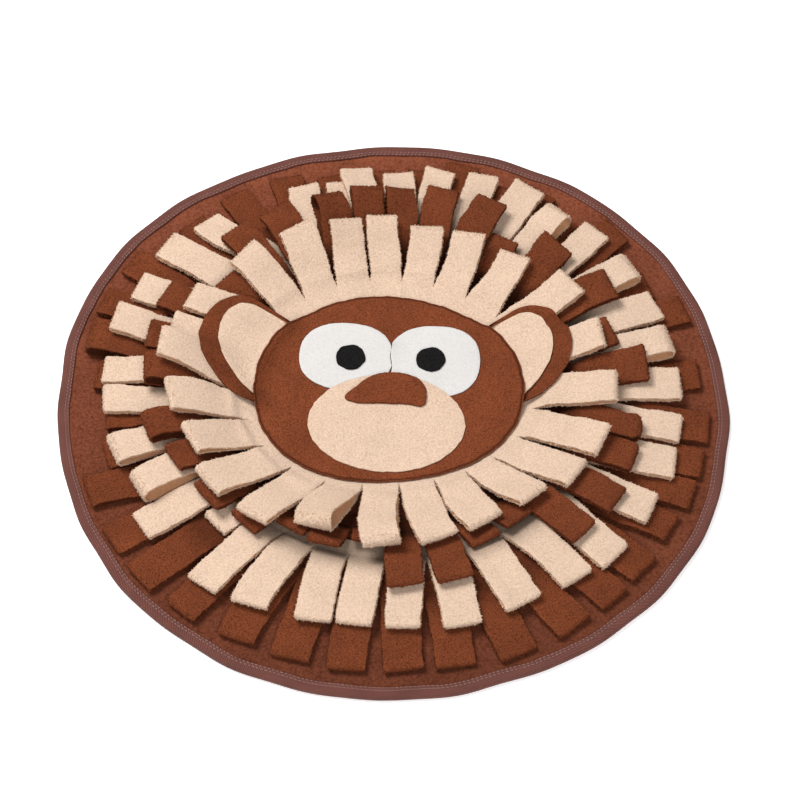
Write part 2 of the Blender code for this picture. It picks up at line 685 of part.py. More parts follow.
def ear_sheet(ear, inset, along, rows, thick, name, finish, pile, clear):
    """One leaf of an ear: a strip of sheet between the seam and the curved outer edge."""
    turn = ear.foot - ear.top
    margin = math.copysign(math.degrees(inset * MM / FACE_RADIUS), turn)
    places, index = [], {}
    for i in range(along + 1):
        share = i / along
        angle = math.radians(ear.top + margin + share * (turn - 1.6 * margin))
        near = face_radius(angle) + EAR_GAP + inset * 0.12 * MM
        far = near + max(0.0, ear.depth - inset) * MM * ear_depth(share)
        for k in range(rows + 1):
            if far - near < 1 * MM and k:
                index[i, k] = index[i, 0]
                continue
            index[i, k] = len(places)
            places.append(FACE_CENTRE + (near + (far - near) * k / rows) * direction(angle))
    triangles = []
    for i in range(along):
        for k in range(rows):
            a, b, c, d = index[i, k], index[i + 1, k], index[i + 1, k + 1], index[i, k + 1]
            for corners in ((a, b, c), (a, c, d)):
                if len(set(corners)) == 3:
                    triangles.append(corners if turn < 0 else corners[::-1])
    rim = [index[i, 0] for i in range(along + 1)]
    rim += [index[i, rows] for i in range(along - 1, 0, -1)]
    if turn > 0:
        rim.reverse()
    heights = [FACE_EDGE_Z] * len(places)
    return closed_sheet(name, places, heights, triangles, rim, thick, finish, pile, clear)


def main():
    """Build the mat from the bottom up."""
    for old in list(bpy.data.objects):
        bpy.data.objects.remove(old)
    finishes = {name: material(name) for name in FINISHES}
    brown, cream = finishes["brown_fleece"], finishes["cream_fleece"]
    white, black = finishes["white_felt"], finishes["black_felt"]
    base_cloth(finishes["base_felt"])
    binding_tape(finishes["binding_tape"])
    pile = Pile()
    pile.add_disc(MAT_RADIUS, BASE_THICK)
    for ring in RINGS:
        comb(ring, pile, finishes[ring.finish])
    for ear in EARS:
        ear_sheet(ear, 0, 10, 3, FLEECE, ear.name + "_ear", brown, pile, EAR_CLEAR)
        inner = ear.name + "_inner_ear"
        ear_sheet(ear, INNER_EAR_INSET, 8, 2, PATCH_THICK, inner, cream, pile, PATCH_CLEAR)

    def face_outline(angle):
        return FACE_CENTRE + face_radius(angle) * direction(angle)

    def flat(x, y):
        return face_under(x, y) + FLEECE + PATCH_CLEAR

    face = Pile()
    disc_sheet("face", face_outline, FACE_CENTRE, 28, (0.55, 1.0), face_under, FLEECE, brown, face)
    for name, place, side in (("left_eye", LEFT_EYE, 1), ("right_eye", RIGHT_EYE, -1)):
        outline = cut_off(oval(place, 0.85), (EYE_DIVIDE - 0.2 * side) * MM, side)
        middle = np.array(place[:2]) * MM
        disc_sheet(name, outline, middle, 20, (1.0,), flat, PATCH_THICK, white, face)
    for name, place in (("left_pupil", PUPILS[0]), ("right_pupil", PUPILS[1])):
        outline = oval((*place, PUPIL_RADIUS, PUPIL_RADIUS))
        disc_sheet(name, outline, np.array(place) * MM, 12, (1.0,), flat, PATCH_THICK, black, face)
    middle = np.array(MUZZLE[:2]) * MM
    disc_sheet("muzzle", oval(MUZZLE), middle, 24, (0.6, 1.0), flat, PATCH_THICK, cream, face)
    middle = np.array(NOSE[:2]) * MM
    disc_sheet("nose", nose_edge, middle, 16, (1.0,), flat, FLEECE, brown, face)


main()
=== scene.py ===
"""Looks of a round snuffle mat: a bound base, four rings of folded fleece strips and an animal's face.

Metres, +Z up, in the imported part's frame, where the origin is the middle of the mat's underside.
The strips are laid one by one.  Each is a springy folded ribbon that bends under its own weight over
the height map of all that lies under it, so it lies on its neighbours as the cloth does.
"""

import logging
import math
from dataclasses import dataclass, field
from enum import Enum

import bmesh
import bpy
import numpy as np
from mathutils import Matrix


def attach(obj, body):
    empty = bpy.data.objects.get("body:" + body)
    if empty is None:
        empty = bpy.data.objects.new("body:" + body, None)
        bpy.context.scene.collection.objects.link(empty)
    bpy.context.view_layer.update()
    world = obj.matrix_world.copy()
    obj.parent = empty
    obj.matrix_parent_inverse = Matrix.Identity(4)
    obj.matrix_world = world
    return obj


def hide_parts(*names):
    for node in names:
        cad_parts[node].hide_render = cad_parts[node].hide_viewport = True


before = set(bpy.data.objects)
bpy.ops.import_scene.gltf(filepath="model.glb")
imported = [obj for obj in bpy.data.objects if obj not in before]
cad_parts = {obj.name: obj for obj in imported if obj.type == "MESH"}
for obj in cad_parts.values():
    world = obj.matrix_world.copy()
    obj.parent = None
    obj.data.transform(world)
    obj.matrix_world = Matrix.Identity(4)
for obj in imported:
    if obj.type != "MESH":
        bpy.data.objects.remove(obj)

Array, Generator = np.ndarray, np.random.Generator
Tree, Node, Socket = bpy.types.NodeTree, bpy.types.Node, bpy.types.NodeSocket
Material, Piece = bpy.types.Material, bpy.types.Object

log = logging.getLogger("snuffle_mat")
MM = 0.001
TO_ORIGIN = np.array((0.37, 2.16)) * MM  # from the middle that the tables are measured from
BODY = "root"

FLEECE = 1.8 * MM
FELT = 1.2 * MM
BASE_THICK = 3.0 * MM
SHOULDER = 0.35 * MM  # how much a layer thins at its cut edge
MAT_RADIUS = 250.2 * MM
OUTLINE_WAVES = (
    (1, 1.2, 117), (2, 1.6, 49), (3, 1.1, -81), (4, 1.9, 148), (6, 0.5, -161), (13, 0.35, 20),
    (19, 0.4, 80), (29, 0.35, 140),
)
FACE_CENTRE = np.array((-1.7, 7.0)) * MM
FACE_RADIUS = 92.3 * MM
FACE_WAVES = ((1, 3.4, 136), (2, 8.0, 0), (3, 1.8, 53))
FACE_EDGE_Z = 9.6 * MM
FACE_SAG = 1.5 * MM
FACE_TUCK = 6 * MM  # how far the inner band reaches in under the face

# Middle x and y, half width and half height of each eye in mm, and the side of the face that it is on.
EYES = (("left_eye", (-35.5, 34, 35, 30), 1), ("right_eye", (30.5, 29.5, 34.5, 32), -1))
EYE_FULLNESS = 0.85  # under 1 makes an oval's corners fuller
PUPILS = (("left_pupil", (-32, 32), "left_eye"), ("right_pupil", (28, 30), "right_eye"))
PUPIL_RADIUS = 11.0  # mm
PUPIL_WAVES = ((5, 0.16, 20), (8, 0.12, 70))
MUZZLE = (-5, -27, 58, 43)

# The nose's outline about its middle, in mm, counter-clockwise from its pointed left corner.
NOSE = (
    (-31.5, -7.5), (-22, -12), (-2, -12), (15, -12), (26, -13), (29, -6), (27.5, 3), (22, 10), (12, 14),
    (0, 14.8), (-12, 12), (-23, 2.5),
)

# One row for each strip: direction of its fold from the mat's middle in degrees, distance in mm, turn of
# its end in degrees, width in mm and how far its two layers stand apart in mm.  Some rows go on with the
# gap's skew, how far the upper layer is pushed to the right in mm, and the radius of the fold's corners.
OUTER = (
    (353, 235, 0, 28, 1), (345, 234, 2, 26, 1), (338, 234, 2, 26, 1), (330, 231, -1, 26, 1),
    (320, 233, -4, 28, 1), (312, 234, 0, 27, 1), (303, 234, 6, 29, 1), (292, 235, 3, 29, 1),
    (281, 231, -2, 29, 1), (272, 230, 6, 29, 1), (262, 232, 4, 28, 1), (252, 232, 4, 29, 1),
    (242, 233, 8, 29, 1), (231, 237, 0, 27, 2), (221, 239, 0, 29, 1), (212, 238, 1, 27, 1),
    (201, 237, 0, 28, 2), (194, 217, 5, 27, 2), (185, 213, -2, 25, 2), (175, 223, -4, 26, 2),
    (167, 236, 3, 28, 9), (158, 240, 1, 26, 1), (148, 240, 2, 27, 1), (141, 227, 1, 25, 2),
    (134, 229, -2, 26, 1), (123, 232, -2, 26, 1), (112, 229, -10, 27, 1), (103, 219, 0, 25, 1),
    (93, 218, 0, 25, 2), (84, 219, 0, 25, 2), (76, 231, 0, 27, 1), (67, 219, 0, 25, 2),
    (59, 229, -5, 26, 1), (51, 216, 0, 25, 2), (42, 236, -5, 28, 1), (28, 222, -7, 27, 1),
    (20, 237, -1, 27, 1), (13, 214, -1, 25, 2), (5, 230, -1, 27, 1),
)
SECOND = (
    (2, 214, 0, 30, 1), (351, 214, -2, 25, 1), (343, 215, 8, 28, 1), (331, 213, 5, 27, 1),
    (318, 213, -1, 28, 1), (309, 207, -5, 27, 1), (297, 203, 3, 29, 1), (284, 204, -2, 28, 1),
    (272, 200, -2, 26, 1), (262, 199, 0, 27, 1), (254, 202, 9, 27, 1), (241, 208, 12, 28, 1),
    (231, 214, 5, 26, 1), (222, 172, 0, 24, 1), (213, 215, 0, 26, 1), (205, 204, 4, 27, 9, 0.3, 2),
    (195, 212, 9, 26, 6), (182, 215, 3, 24, 1), (175, 217, 0, 24, 1), (163, 221, 4, 27, 2),
    (153, 220, 6, 27, 1), (142, 225, 6, 27, 2), (132, 219, -4, 26, 1), (109.8, 211, -3, 25, 1),
    (101.5, 206, -4, 25, 1), (98, 214, -2, 26, 1), (89, 210, 6, 25, 1), (80, 217, -10, 25, 1),
    (71, 221, 4, 25, 1), (61, 223, -6, 27, 2), (52, 213, -14, 25, 8, -0.5, -1), (44, 221, 3, 25, 1),
    (32, 217, -3, 26, 8), (22, 216, 3, 29, 1), (12, 213, 3, 26, 8),
)
THIRD = (
    (348, 186, 6, 23, 5, 0, 0, 9), (340, 187, 0, 25, 3, 0, 0, 4), (328, 190, -2, 26, 1), (317, 186, 0, 26, 1),
    (308, 148, 0, 24, 1), (297, 148, 0, 24, 1), (285, 172, 1, 27, 1), (273, 171, 6, 27, 1),
    (262, 134, 0, 24, 1), (250, 146, 6, 25, 2), (239, 144, 0, 24, 1), (228, 160, -4, 27, 1),
    (216, 167, 3, 29, 1), (203, 174, 8, 27, 2), (193, 186, 8, 25, 7), (176, 186, 8, 26, 9),
    (166, 190, 6, 26, 2), (154, 194, 0, 28, 4), (142, 165, -2, 24, 1), (130, 193, 1, 27, 2),
    (119, 193, 6, 28, 1), (107, 185, 14, 26, 9, 0.6, 4), (97, 184, 4, 25, 6, 0.6, 2),
    (88.6, 185, 6, 24, 6, 0.6, 2),
    (78, 192, -8, 26, 2), (66, 191, -6, 27, 1), (58, 165, -4, 24, 1), (46, 184, 0, 28, 1),
    (29, 190, -8, 29, 2), (17, 173, 5, 27, 1), (6, 190, 0, 29, 1),
)
INNER = (
    (358, 166, 0, 29, 2), (340, 163, -5, 28, 2), (328, 157, -3, 27, 2), (315, 144, -6, 27, 2),
    (299, 138, 5, 29, 2), (284, 139, 10, 29, 2), (267, 142, 12, 28, 6, 0.6, 3), (246, 140, 12, 29, 8, 0.7, 5),
    (230, 157, 8, 27, 3), (214, 162, 6, 29, 3), (201, 159, 10, 28, 3), (186, 167, 9, 29, 3),
    (171, 176, 3, 26, 2), (163, 174, 3, 23, 1), (153, 173, 3, 26, 2), (134, 168, 7, 29, 2),
    (118, 163, 4, 29, 2), (104, 155, -3, 26, 2), (93.4, 155, -3, 25, 2), (80, 150, 9, 26, 3),
    (67, 151, 10, 26, 2), (52, 153, 12, 26, 2), (34, 165, 7, 28, 2), (15, 163, -5, 27, 2),
)


class Slot(Enum):
    """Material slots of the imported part."""

    BROWN = "brown_fleece"
    CREAM = "cream_fleece"
    BASE = "base_felt"
    WHITE = "white_felt"
    BLACK = "black_felt"
    TAPE = "binding_tape"


class Held(Enum):
    """How a sheet of cloth is held."""

    FOLDED = "folded"
    LAID = "laid"


def waves(angle: Array, table: tuple) -> Array:
    """Sum of waves round an outline.

    Args:
        angle: Angles in radians.
        table: One row for each wave: how many go round, height in mm, phase in degrees.

    Returns:
        The sum at each angle, in metres.
    """
    return sum(h * MM * np.cos(n * angle + math.radians(phase)) for n, h, phase in table)


def direction(angle: Array) -> Array:
    """Unit vectors at angles in radians, on a last axis of two."""
    return np.stack((np.cos(angle), np.sin(angle)), -1)


def turns(count: int) -> Array:
    """Angles of even steps once round a circle."""
    return np.arange(count) * 2 * math.pi / count


def lengths(line: Array) -> Array:
    """Distance along a line at each of its points (x, y)."""
    return np.concatenate(([0], np.cumsum(np.hypot(*np.diff(line, axis=0).T))))


def mat_radius(angle: Array) -> Array:
    """Outside radius of the bound mat."""
    return MAT_RADIUS + waves(angle, OUTLINE_WAVES)


def face_radius(angle: Array) -> Array:
    """Radius of the face's outline about its own centre."""
    return FACE_RADIUS + waves(angle, FACE_WAVES)


def smooth(value: Array) -> Array:
    """Smooth step from 0 to 1."""
    value = np.clip(value, 0, 1)
    return value * value * (3 - 2 * value)


def wobble(rng: Generator, along: Array, length: float, count: int = 4) -> Array:
    """Smooth random wander.

    Args:
        rng: Source of the random phases.
        along: Distances along a path, in metres.
        length: The longest wave, in metres.
        count: How many waves are added up.

    Returns:
        Values of about -1 to 1.
    """
    total = np.zeros_like(along, dtype=float)
    for i in range(count):
        total += np.sin(2 * math.pi * along * (1 + 0.7 * i) / length + rng.uniform(0, 7)) / (1 + 0.6 * i)
    return total / 1.8


# ---------------------------------------------------------------------------------------------
# Materials
# ---------------------------------------------------------------------------------------------


def plug(tree: Tree, socket: Socket, value: object) -> None:
    """Link another socket to an input, or set the input's value.

    Args:
        tree: The tree that both are in.
        socket: The input.
        value: The other socket, or a value.
    """
    if isinstance(value, Socket):
        tree.links.new(value, socket)
    else:
        socket.default_value = value


def add_node(tree: Tree, kind: str, inputs: dict | None = None, **settings) -> Node:
    """Add one node.

    Args:
        tree: The tree it goes in.
        kind: Blender's name of the node type.
        inputs: Values or sockets for its inputs, by name or number.
        settings: Values of its properties.

    Returns:
        The node.
    """
    made = tree.nodes.new(kind)
    for key, value in settings.items():
        setattr(made, key, value)
    for key, value in (inputs or {}).items():
        plug(tree, made.inputs[key], value)
    return made


def maths(tree: Tree, operation: str, a: object, b: object = 0.0) -> Socket:
    """One arithmetic node's result."""
    return add_node(tree, "ShaderNodeMath", {0: a, 1: b}, operation=operation).outputs[0]


def weighted(tree: Tree, *terms: tuple) -> Socket:
    """Sum of values, each times its weight.

    Args:
        tree: The tree it goes in.
        terms: Pairs of a value or socket and its weight.

    Returns:
        The sum's socket.
    """
    total, *rest = [maths(tree, "MULTIPLY", value, weight) for value, weight in terms]
    for term in rest:
        total = maths(tree, "ADD", total, term)
    return total


def mixed(tree: Tree, share: object, a: object, b: object) -> Socket:
    """Mix of two colours, with a share of the second one."""
    return add_node(tree, "ShaderNodeMix", {0: share, 6: a, 7: b}, data_type="RGBA").outputs[2]


def scaled(tree: Tree, shade: object, factor: object) -> Socket:
    """A colour times a factor."""
    inputs = {0: shade, "Scale": factor}
    return add_node(tree, "ShaderNodeVectorMath", inputs, operation="SCALE").outputs[0]


def noise(tree: Tree, vector: object, scale: object, detail: float, rough: float) -> Socket:
    """Value of a noise texture."""
    values = {"Vector": vector, "Scale": scale, "Detail": detail, "Roughness": rough}
    return add_node(tree, "ShaderNodeTexNoise", values).outputs[0]


def new_tree(kind: str, name: str, inputs: dict, outputs: dict) -> tuple:
    """Start a node tree that can be used in more than one place.

    Args:
        kind: Blender's name of the tree type.
        name: The tree's name.
        inputs: Type and default of each input, by name.
        outputs: Type of each output, by name.

    Returns:
        The tree, its input node, its output node and its inputs' identifiers by name.
    """
    tree, names = bpy.data.node_groups.new(name, kind), {}
    for label, (socket, value) in inputs.items():
        made = tree.interface.new_socket(label, in_out="INPUT", socket_type="NodeSocket" + socket)
        if value is not None:
            made.default_value = value
        names[label] = made.identifier
    for label, socket in outputs.items():
        tree.interface.new_socket(label, in_out="OUTPUT", socket_type="NodeSocket" + socket)
    return tree, tree.nodes.new("NodeGroupInput"), tree.nodes.new("NodeGroupOutput"), names


SHARED: dict = {}


def once(make: object) -> object:
    """Call a function that makes a tree, the first time it is asked for.

    Args:
        make: The function.

    Returns:
        The tree that it made.
    """
    if make not in SHARED:
        SHARED[make] = make()
    return SHARED[make]


def group_node(tree: Tree, make: object, inputs: dict) -> Node:
    """Place one of the shared groups in a material.

    Args:
        tree: The material's tree.
        make: The function that makes the group.
        inputs: Its values or sockets.

    Returns:
        The group's node.
    """
    return add_node(tree, "ShaderNodeGroup", inputs, node_tree=once(make))


def nap_group() -> Tree:
    """Curled nap of brushed cloth: soft lumps with short fibres on them.

    Returns:
        A group with a shade from 0 to 1 and a height from 0 to 1.
    """
    group, given, out, _ = new_tree(
        "ShaderNodeTree", "brushed nap",
        {"Vector": ("Vector", None), "Lump Size": ("Float", 0.0018), "Fibre Size": ("Float", 0.0006)},
        {"Shade": "Float", "Height": "Float"},
    )
    vector = given.outputs["Vector"]
    lump_scale = maths(group, "DIVIDE", 1.0, given.outputs["Lump Size"])
    fibre_scale = maths(group, "DIVIDE", 1.0, given.outputs["Fibre Size"])
    lumps = noise(group, vector, lump_scale, 2.0, 0.6)
    fibres = noise(group, vector, fibre_scale, 2.0, 0.7)
    curls = add_node(
        group, "ShaderNodeTexVoronoi", {"Vector": vector, "Scale": maths(group, "MULTIPLY", lump_scale, 1.5)},
        feature="SMOOTH_F1",
    )
    curl = maths(group, "SUBTRACT", 1.0, curls.outputs["Distance"])
    height = weighted(group, (lumps, 0.5), (curl, 0.3), (fibres, 0.35))
    spread = maths(group, "MULTIPLY", maths(group, "SUBTRACT", height, 0.55), 3.2)
    plug(group, out.inputs["Shade"], maths(group, "ADD", spread, 0.5))
    plug(group, out.inputs["Height"], height)
    return group


def tone_group() -> Tree:
    """Slow change of tone over a cloth, where its nap lies one way or the other.

    Returns:
        A group that puts out the colour it is given, a little lighter or darker.
    """
    group, given, out, _ = new_tree(
        "ShaderNodeTree", "tone patches",
        {
            "Vector": ("Vector", None), "Color": ("Color", (0.5, 0.5, 0.5, 1)),
            "Patch Size": ("Float", 0.03), "Amount": ("Float", 0.1),
        },
        {"Color": "Color"},
    )
    scale = maths(group, "DIVIDE", 1.0, given.outputs["Patch Size"])
    patches = noise(group, given.outputs["Vector"], scale, 3.0, 0.55)
    around = maths(group, "MULTIPLY", maths(group, "SUBTRACT", patches, 0.5), given.outputs["Amount"])
    factor = maths(group, "ADD", maths(group, "MULTIPLY", around, 4.0), 1.0)
    plug(group, out.inputs["Color"], scaled(group, given.outputs["Color"], factor))
    return group


def rib_group() -> Tree:
    """Diagonal ribs of a woven tape, from its UV map in metres.

    Returns:
        A group with a shade from 0 to 1.
    """
    group, given, out, _ = new_tree(
        "ShaderNodeTree", "diagonal rib", {"Vector": ("Vector", None), "Pitch": ("Float", 0.0012)},
        {"Shade": "Float"},
    )
    place = add_node(group, "ShaderNodeSeparateXYZ", {0: given.outputs["Vector"]})
    along, across = place.outputs[0], place.outputs[1]
    rank = maths(group, "DIVIDE", 2 * math.pi, given.outputs["Pitch"])
    ribs = maths(group, "SINE", maths(group, "MULTIPLY", maths(group, "ADD", along, across), rank))
    picks = maths(group, "SINE", maths(group, "MULTIPLY", maths(group, "MULTIPLY", across, rank), 1.3))
    both = maths(group, "ADD", ribs, maths(group, "MULTIPLY", picks, 0.3))
    plug(group, out.inputs["Shade"], maths(group, "ADD", maths(group, "MULTIPLY", both, 0.38), 0.5))
    return group


def colour(red: float, green: float, blue: float) -> tuple:
    """A colour with full alpha."""
    return (red, green, blue, 1.0)


def dimmed(shade: tuple, share: float) -> tuple:
    """A share of a colour's light."""
    return colour(*(share * c for c in shade[:3]))


def new_material(name: str) -> tuple:
    """A material with its Principled shader.

    Args:
        name: The material's name.

    Returns:
        The material, its tree, the shader node and its Object coordinates.
    """
    made = bpy.data.materials.new(name)
    made.use_nodes = True
    tree = made.node_tree
    return made, tree, tree.nodes["Principled BSDF"], add_node(tree, "ShaderNodeTexCoord").outputs["Object"]


def dress(tree: Tree, shader: Node, cloth: object, relief: object, depth: float, **values) -> None:
    """Give a shader its looks.

    Args:
        tree: The material's tree.
        shader: The shader.
        cloth: The colour.
        relief: The height.
        depth: How deep the height's relief is, in metres.
        values: Values of its other inputs, by name, with _ for a space.
    """
    bump = add_node(tree, "ShaderNodeBump", {"Distance": depth, "Height": relief})
    plug(tree, shader.inputs["Base Color"], cloth)
    plug(tree, shader.inputs["Normal"], bump.outputs["Normal"])
    for name, value in values.items():
        shader.inputs[name.replace("_", " ")].default_value = value


@dataclass(frozen=True)
class NappedFinish:
    """Brushed cloth such as fleece or felt."""

    name: str
    deep: tuple  # colour between the fibres
    light: tuple  # colour of the fibre ends
    cut: tuple  # painted colour of the inner side of a folded layer, which shows at its cut edges: painted shade on dark cloth, painted light scattered through pale cloth
    lump: float = 1.5 * MM
    fibre: float = 0.6 * MM
    bump: float = 0.9 * MM
    tone: float = 0.12
    patch: float = 22 * MM
    sheen: float = 0.08
    brushed: float = 0.0  # painted light: share by which the cloth is painted lighter at the distance set below behind the middle, and darker in front, for light glancing off its nap

    PAINTED_LIGHT_REACH = 0.25
    PAINTED_INSIDE_COVER = 0.5  # how much of the painted inside colour shows on the inner side of a folded layer
    PAINTED_SHADE_SHARE = 0.25  # colour of the painted shade, as a share of the deep colour
    PAINTED_SHADE_COVER = 0.85

    def build(self) -> Material:
        """Make the material.

        Returns:
            A material that reads Object coordinates and the attributes "cut" and "seam", which carry painted
            light and shade.
        """
        made, tree, shader, place = new_material(self.name)
        nap = group_node(tree, nap_group, {"Vector": place, "Lump Size": self.lump, "Fibre Size": self.fibre})
        cloth = mixed(tree, nap.outputs["Shade"], self.deep, self.light)
        # Painted light and shade inside folded layers, where the attribute "cut" is near 1: painted shade on
        # dark cloth, painted scattered light on pale cloth.
        edge = add_node(tree, "ShaderNodeAttribute", attribute_name="cut").outputs["Fac"]
        inside = maths(tree, "POWER", edge, 3.0)
        cloth = mixed(tree, inside, cloth, mixed(tree, self.PAINTED_INSIDE_COVER, cloth, self.cut))
        # Painted shade where the attribute "seam" is set: in the furrow of a sewn seam and at the roots of
        # covered strips.
        furrow = add_node(tree, "ShaderNodeAttribute", attribute_name="seam").outputs["Fac"]
        covered = maths(tree, "MULTIPLY", furrow, self.PAINTED_SHADE_COVER)
        cloth = mixed(tree, covered, cloth, dimmed(self.deep, self.PAINTED_SHADE_SHARE))
        inputs = {"Vector": place, "Color": cloth, "Patch Size": self.patch, "Amount": self.tone}
        cloth = group_node(tree, tone_group, inputs).outputs["Color"]
        # Painted light: lighter towards the back and darker towards the front, standing for light glancing
        # off the nap.
        if self.brushed:
            back = add_node(tree, "ShaderNodeSeparateXYZ", {0: place}).outputs[1]
            more = maths(tree, "MULTIPLY", back, self.brushed / self.PAINTED_LIGHT_REACH)
            cloth = scaled(tree, cloth, maths(tree, "ADD", more, 1.0))
        dress(
            tree, shader, cloth, nap.outputs["Height"], self.bump, Roughness=0.95, Specular_IOR_Level=0.08,
            Sheen_Tint=self.light, Sheen_Weight=self.sheen, Sheen_Roughness=0.6,
        )
        return made


@dataclass(frozen=True)
class TapeFinish:
    """Woven tape with fine diagonal ribs."""

    name: str = "ribbed tape"
    deep: tuple = colour(0.014, 0.0045, 0.004)
    light: tuple = colour(0.235, 0.084, 0.063)
    pitch: float = 1.7 * MM

    def build(self) -> Material:
        """Make the material.

        Returns:
            A material that reads the tape's UV map.
        """
        made, tree, shader, place = new_material(self.name)
        flat = add_node(tree, "ShaderNodeUVMap", uv_map="UVMap").outputs[0]
        ribs = group_node(tree, rib_group, {"Vector": flat, "Pitch": self.pitch}).outputs["Shade"]
        shade = weighted(tree, (ribs, 0.7), (noise(tree, place, 900.0, 2.0, 0.6), 0.3))
        cloth = mixed(tree, shade, self.deep, self.light)
        inputs = {"Vector": place, "Color": cloth, "Patch Size": 20 * MM, "Amount": 0.14}
        cloth = group_node(tree, tone_group, inputs).outputs["Color"]
        dress(tree, shader, cloth, shade, 0.3 * MM, Roughness=0.8, Specular_IOR_Level=0.2)
        return made


@dataclass(frozen=True)
class ThreadFinish:
    """Sewing thread."""

    name: str
    base: tuple

    def build(self) -> Material:
        """Make the material, with a twist of fine strands.

        Returns:
            The material.
        """
        made, tree, shader, place = new_material(self.name)
        strands = noise(tree, place, 1500.0, 2.0, 0.6)
        cloth = mixed(tree, strands, dimmed(self.base, 0.55), self.base)
        dress(tree, shader, cloth, strands, 0.15 * MM, Roughness=0.6)
        return made


# ---------------------------------------------------------------------------------------------
# Shapes
# ---------------------------------------------------------------------------------------------


def add_object(name: str, data: object) -> Piece:
    """Put a mesh, a light or a camera in the scene.

    Args:
        name: The object's name.
        data: The mesh, light or camera.

    Returns:
        The object.
    """
    made = bpy.data.objects.new(name, data)
    bpy.context.scene.collection.objects.link(made)
    return made


@dataclass
class Shell:
    """A mesh in the making: points, faces and the values of the attributes on them."""

    points: list = field(default_factory=list)
    count: int = 0
    faces: list = field(default_factory=list)
    fuzz: list = field(default_factory=list)
    cut: list = field(default_factory=list)
    seam: list = field(default_factory=list)

    def put(self, places: Array, cut: float = 0.0, seam: float | Array = 0.0) -> Array:
        """Add an array of points and return their numbers in the same shape.

        Args:
            places: The points.
            cut: Value of the attribute "cut" there: 1 on the inner side of a folded layer, where the finish
                paints shade between the layers, and on pale cloth warm light scattered through them.
            seam: Value of the attribute "seam", for all or for each row: up to 1 where the finish paints
            shade, in the furrow of a sewn seam and at the roots of strips that lie under other cloth.

        Returns:
            The points' numbers.
        """
        flat = places.reshape(-1, 3)
        self.points.append(flat)
        self.cut.extend([cut] * len(flat))
        self.seam.extend(np.broadcast_to(seam, places.shape[:-1]).ravel().tolist())
        found = np.arange(self.count, self.count + len(flat)).reshape(places.shape[:-1])
        self.count += len(flat)
        return found

    def face(self, corners: list, fuzz: float = 0.0) -> None:
        """Add one face."""
        self.faces.append([int(c) for c in corners])
        self.fuzz.append(fuzz)

    def grid(self, numbers: Array, fuzz: float | Array = 0.0, wrap: bool = False) -> None:
        """Fill a grid of point numbers with quads.

        Args:
            numbers: Point numbers in rows and columns.
            fuzz: How thickly tufts grow on these faces, from 0 to 1, for all or for each row.
            wrap: Whether the last column joins the first.
        """
        if wrap:
            numbers = np.concatenate((numbers, numbers[:, :1]), 1)
        a, b = numbers[:-1, :-1], numbers[1:, :-1]
        c, d = numbers[1:, 1:], numbers[:-1, 1:]
        quads = np.stack((a, b, c, d), -1).reshape(-1, 4)
        self.faces.extend(quads.tolist())
        rows = np.broadcast_to(np.asarray(fuzz, float).reshape(-1, 1), a.shape)
        self.fuzz.extend(rows.ravel().tolist())

    def disc(self, low: Array, high: Array, hubs: tuple, seam: float | Array = 0.0) -> None:
        """Add a round sheet, closed at its rim and in its middle.

        Args:
            low: Points of its lower side in rows from the middle out.
            high: The same of its upper side.
            hubs: The lower and the upper point in its middle.
            seam: Value of the attribute "seam" on its upper side, for all or for each row, where the finish
                paints shade.
        """
        sides = self.put(low), self.put(high, 0.0, seam)
        for rows, hub in zip(sides, hubs):
            self.grid(rows, 0, True)
            middle = self.put(np.array([hub]))[0]
            for a, b in zip(rows[0], np.roll(rows[0], -1)):
                self.face([a, b, middle])
        self.grid(np.stack([rows[-1] for rows in sides]), 1.0, True)

    def build(self, name: str, finish: Material, sharp: float = 50.0) -> Piece:
        """Make the object, with its faces pointing out and smooth up to an angle.

        Args:
            name: The object's name.
            finish: Its material.
            sharp: The angle in degrees past which an edge stays sharp.

        Returns:
            The object.
        """
        points = np.concatenate(self.points)
        points[:, :2] += TO_ORIGIN
        mesh = bpy.data.meshes.new(name)
        mesh.from_pydata(points.tolist(), [], self.faces)
        mesh.attributes.new("cut", "FLOAT", "POINT").data.foreach_set("value", self.cut)
        mesh.attributes.new("seam", "FLOAT", "POINT").data.foreach_set("value", self.seam)
        mesh.attributes.new("fuzz", "FLOAT", "FACE").data.foreach_set("value", self.fuzz)
        shape = bmesh.new()
        shape.from_mesh(mesh)
        open_edges = sum(not e.is_manifold for e in shape.edges)
        if open_edges:
            log.warning("%s has %d open edges", name, open_edges)
        bmesh.ops.recalc_face_normals(shape, faces=shape.faces[:])
        shape.to_mesh(mesh)
        shape.free()
        mesh.shade_smooth()
        mesh.set_sharp_from_angle(angle=math.radians(sharp))
        mesh.materials.append(finish)
        return add_object(name, mesh)


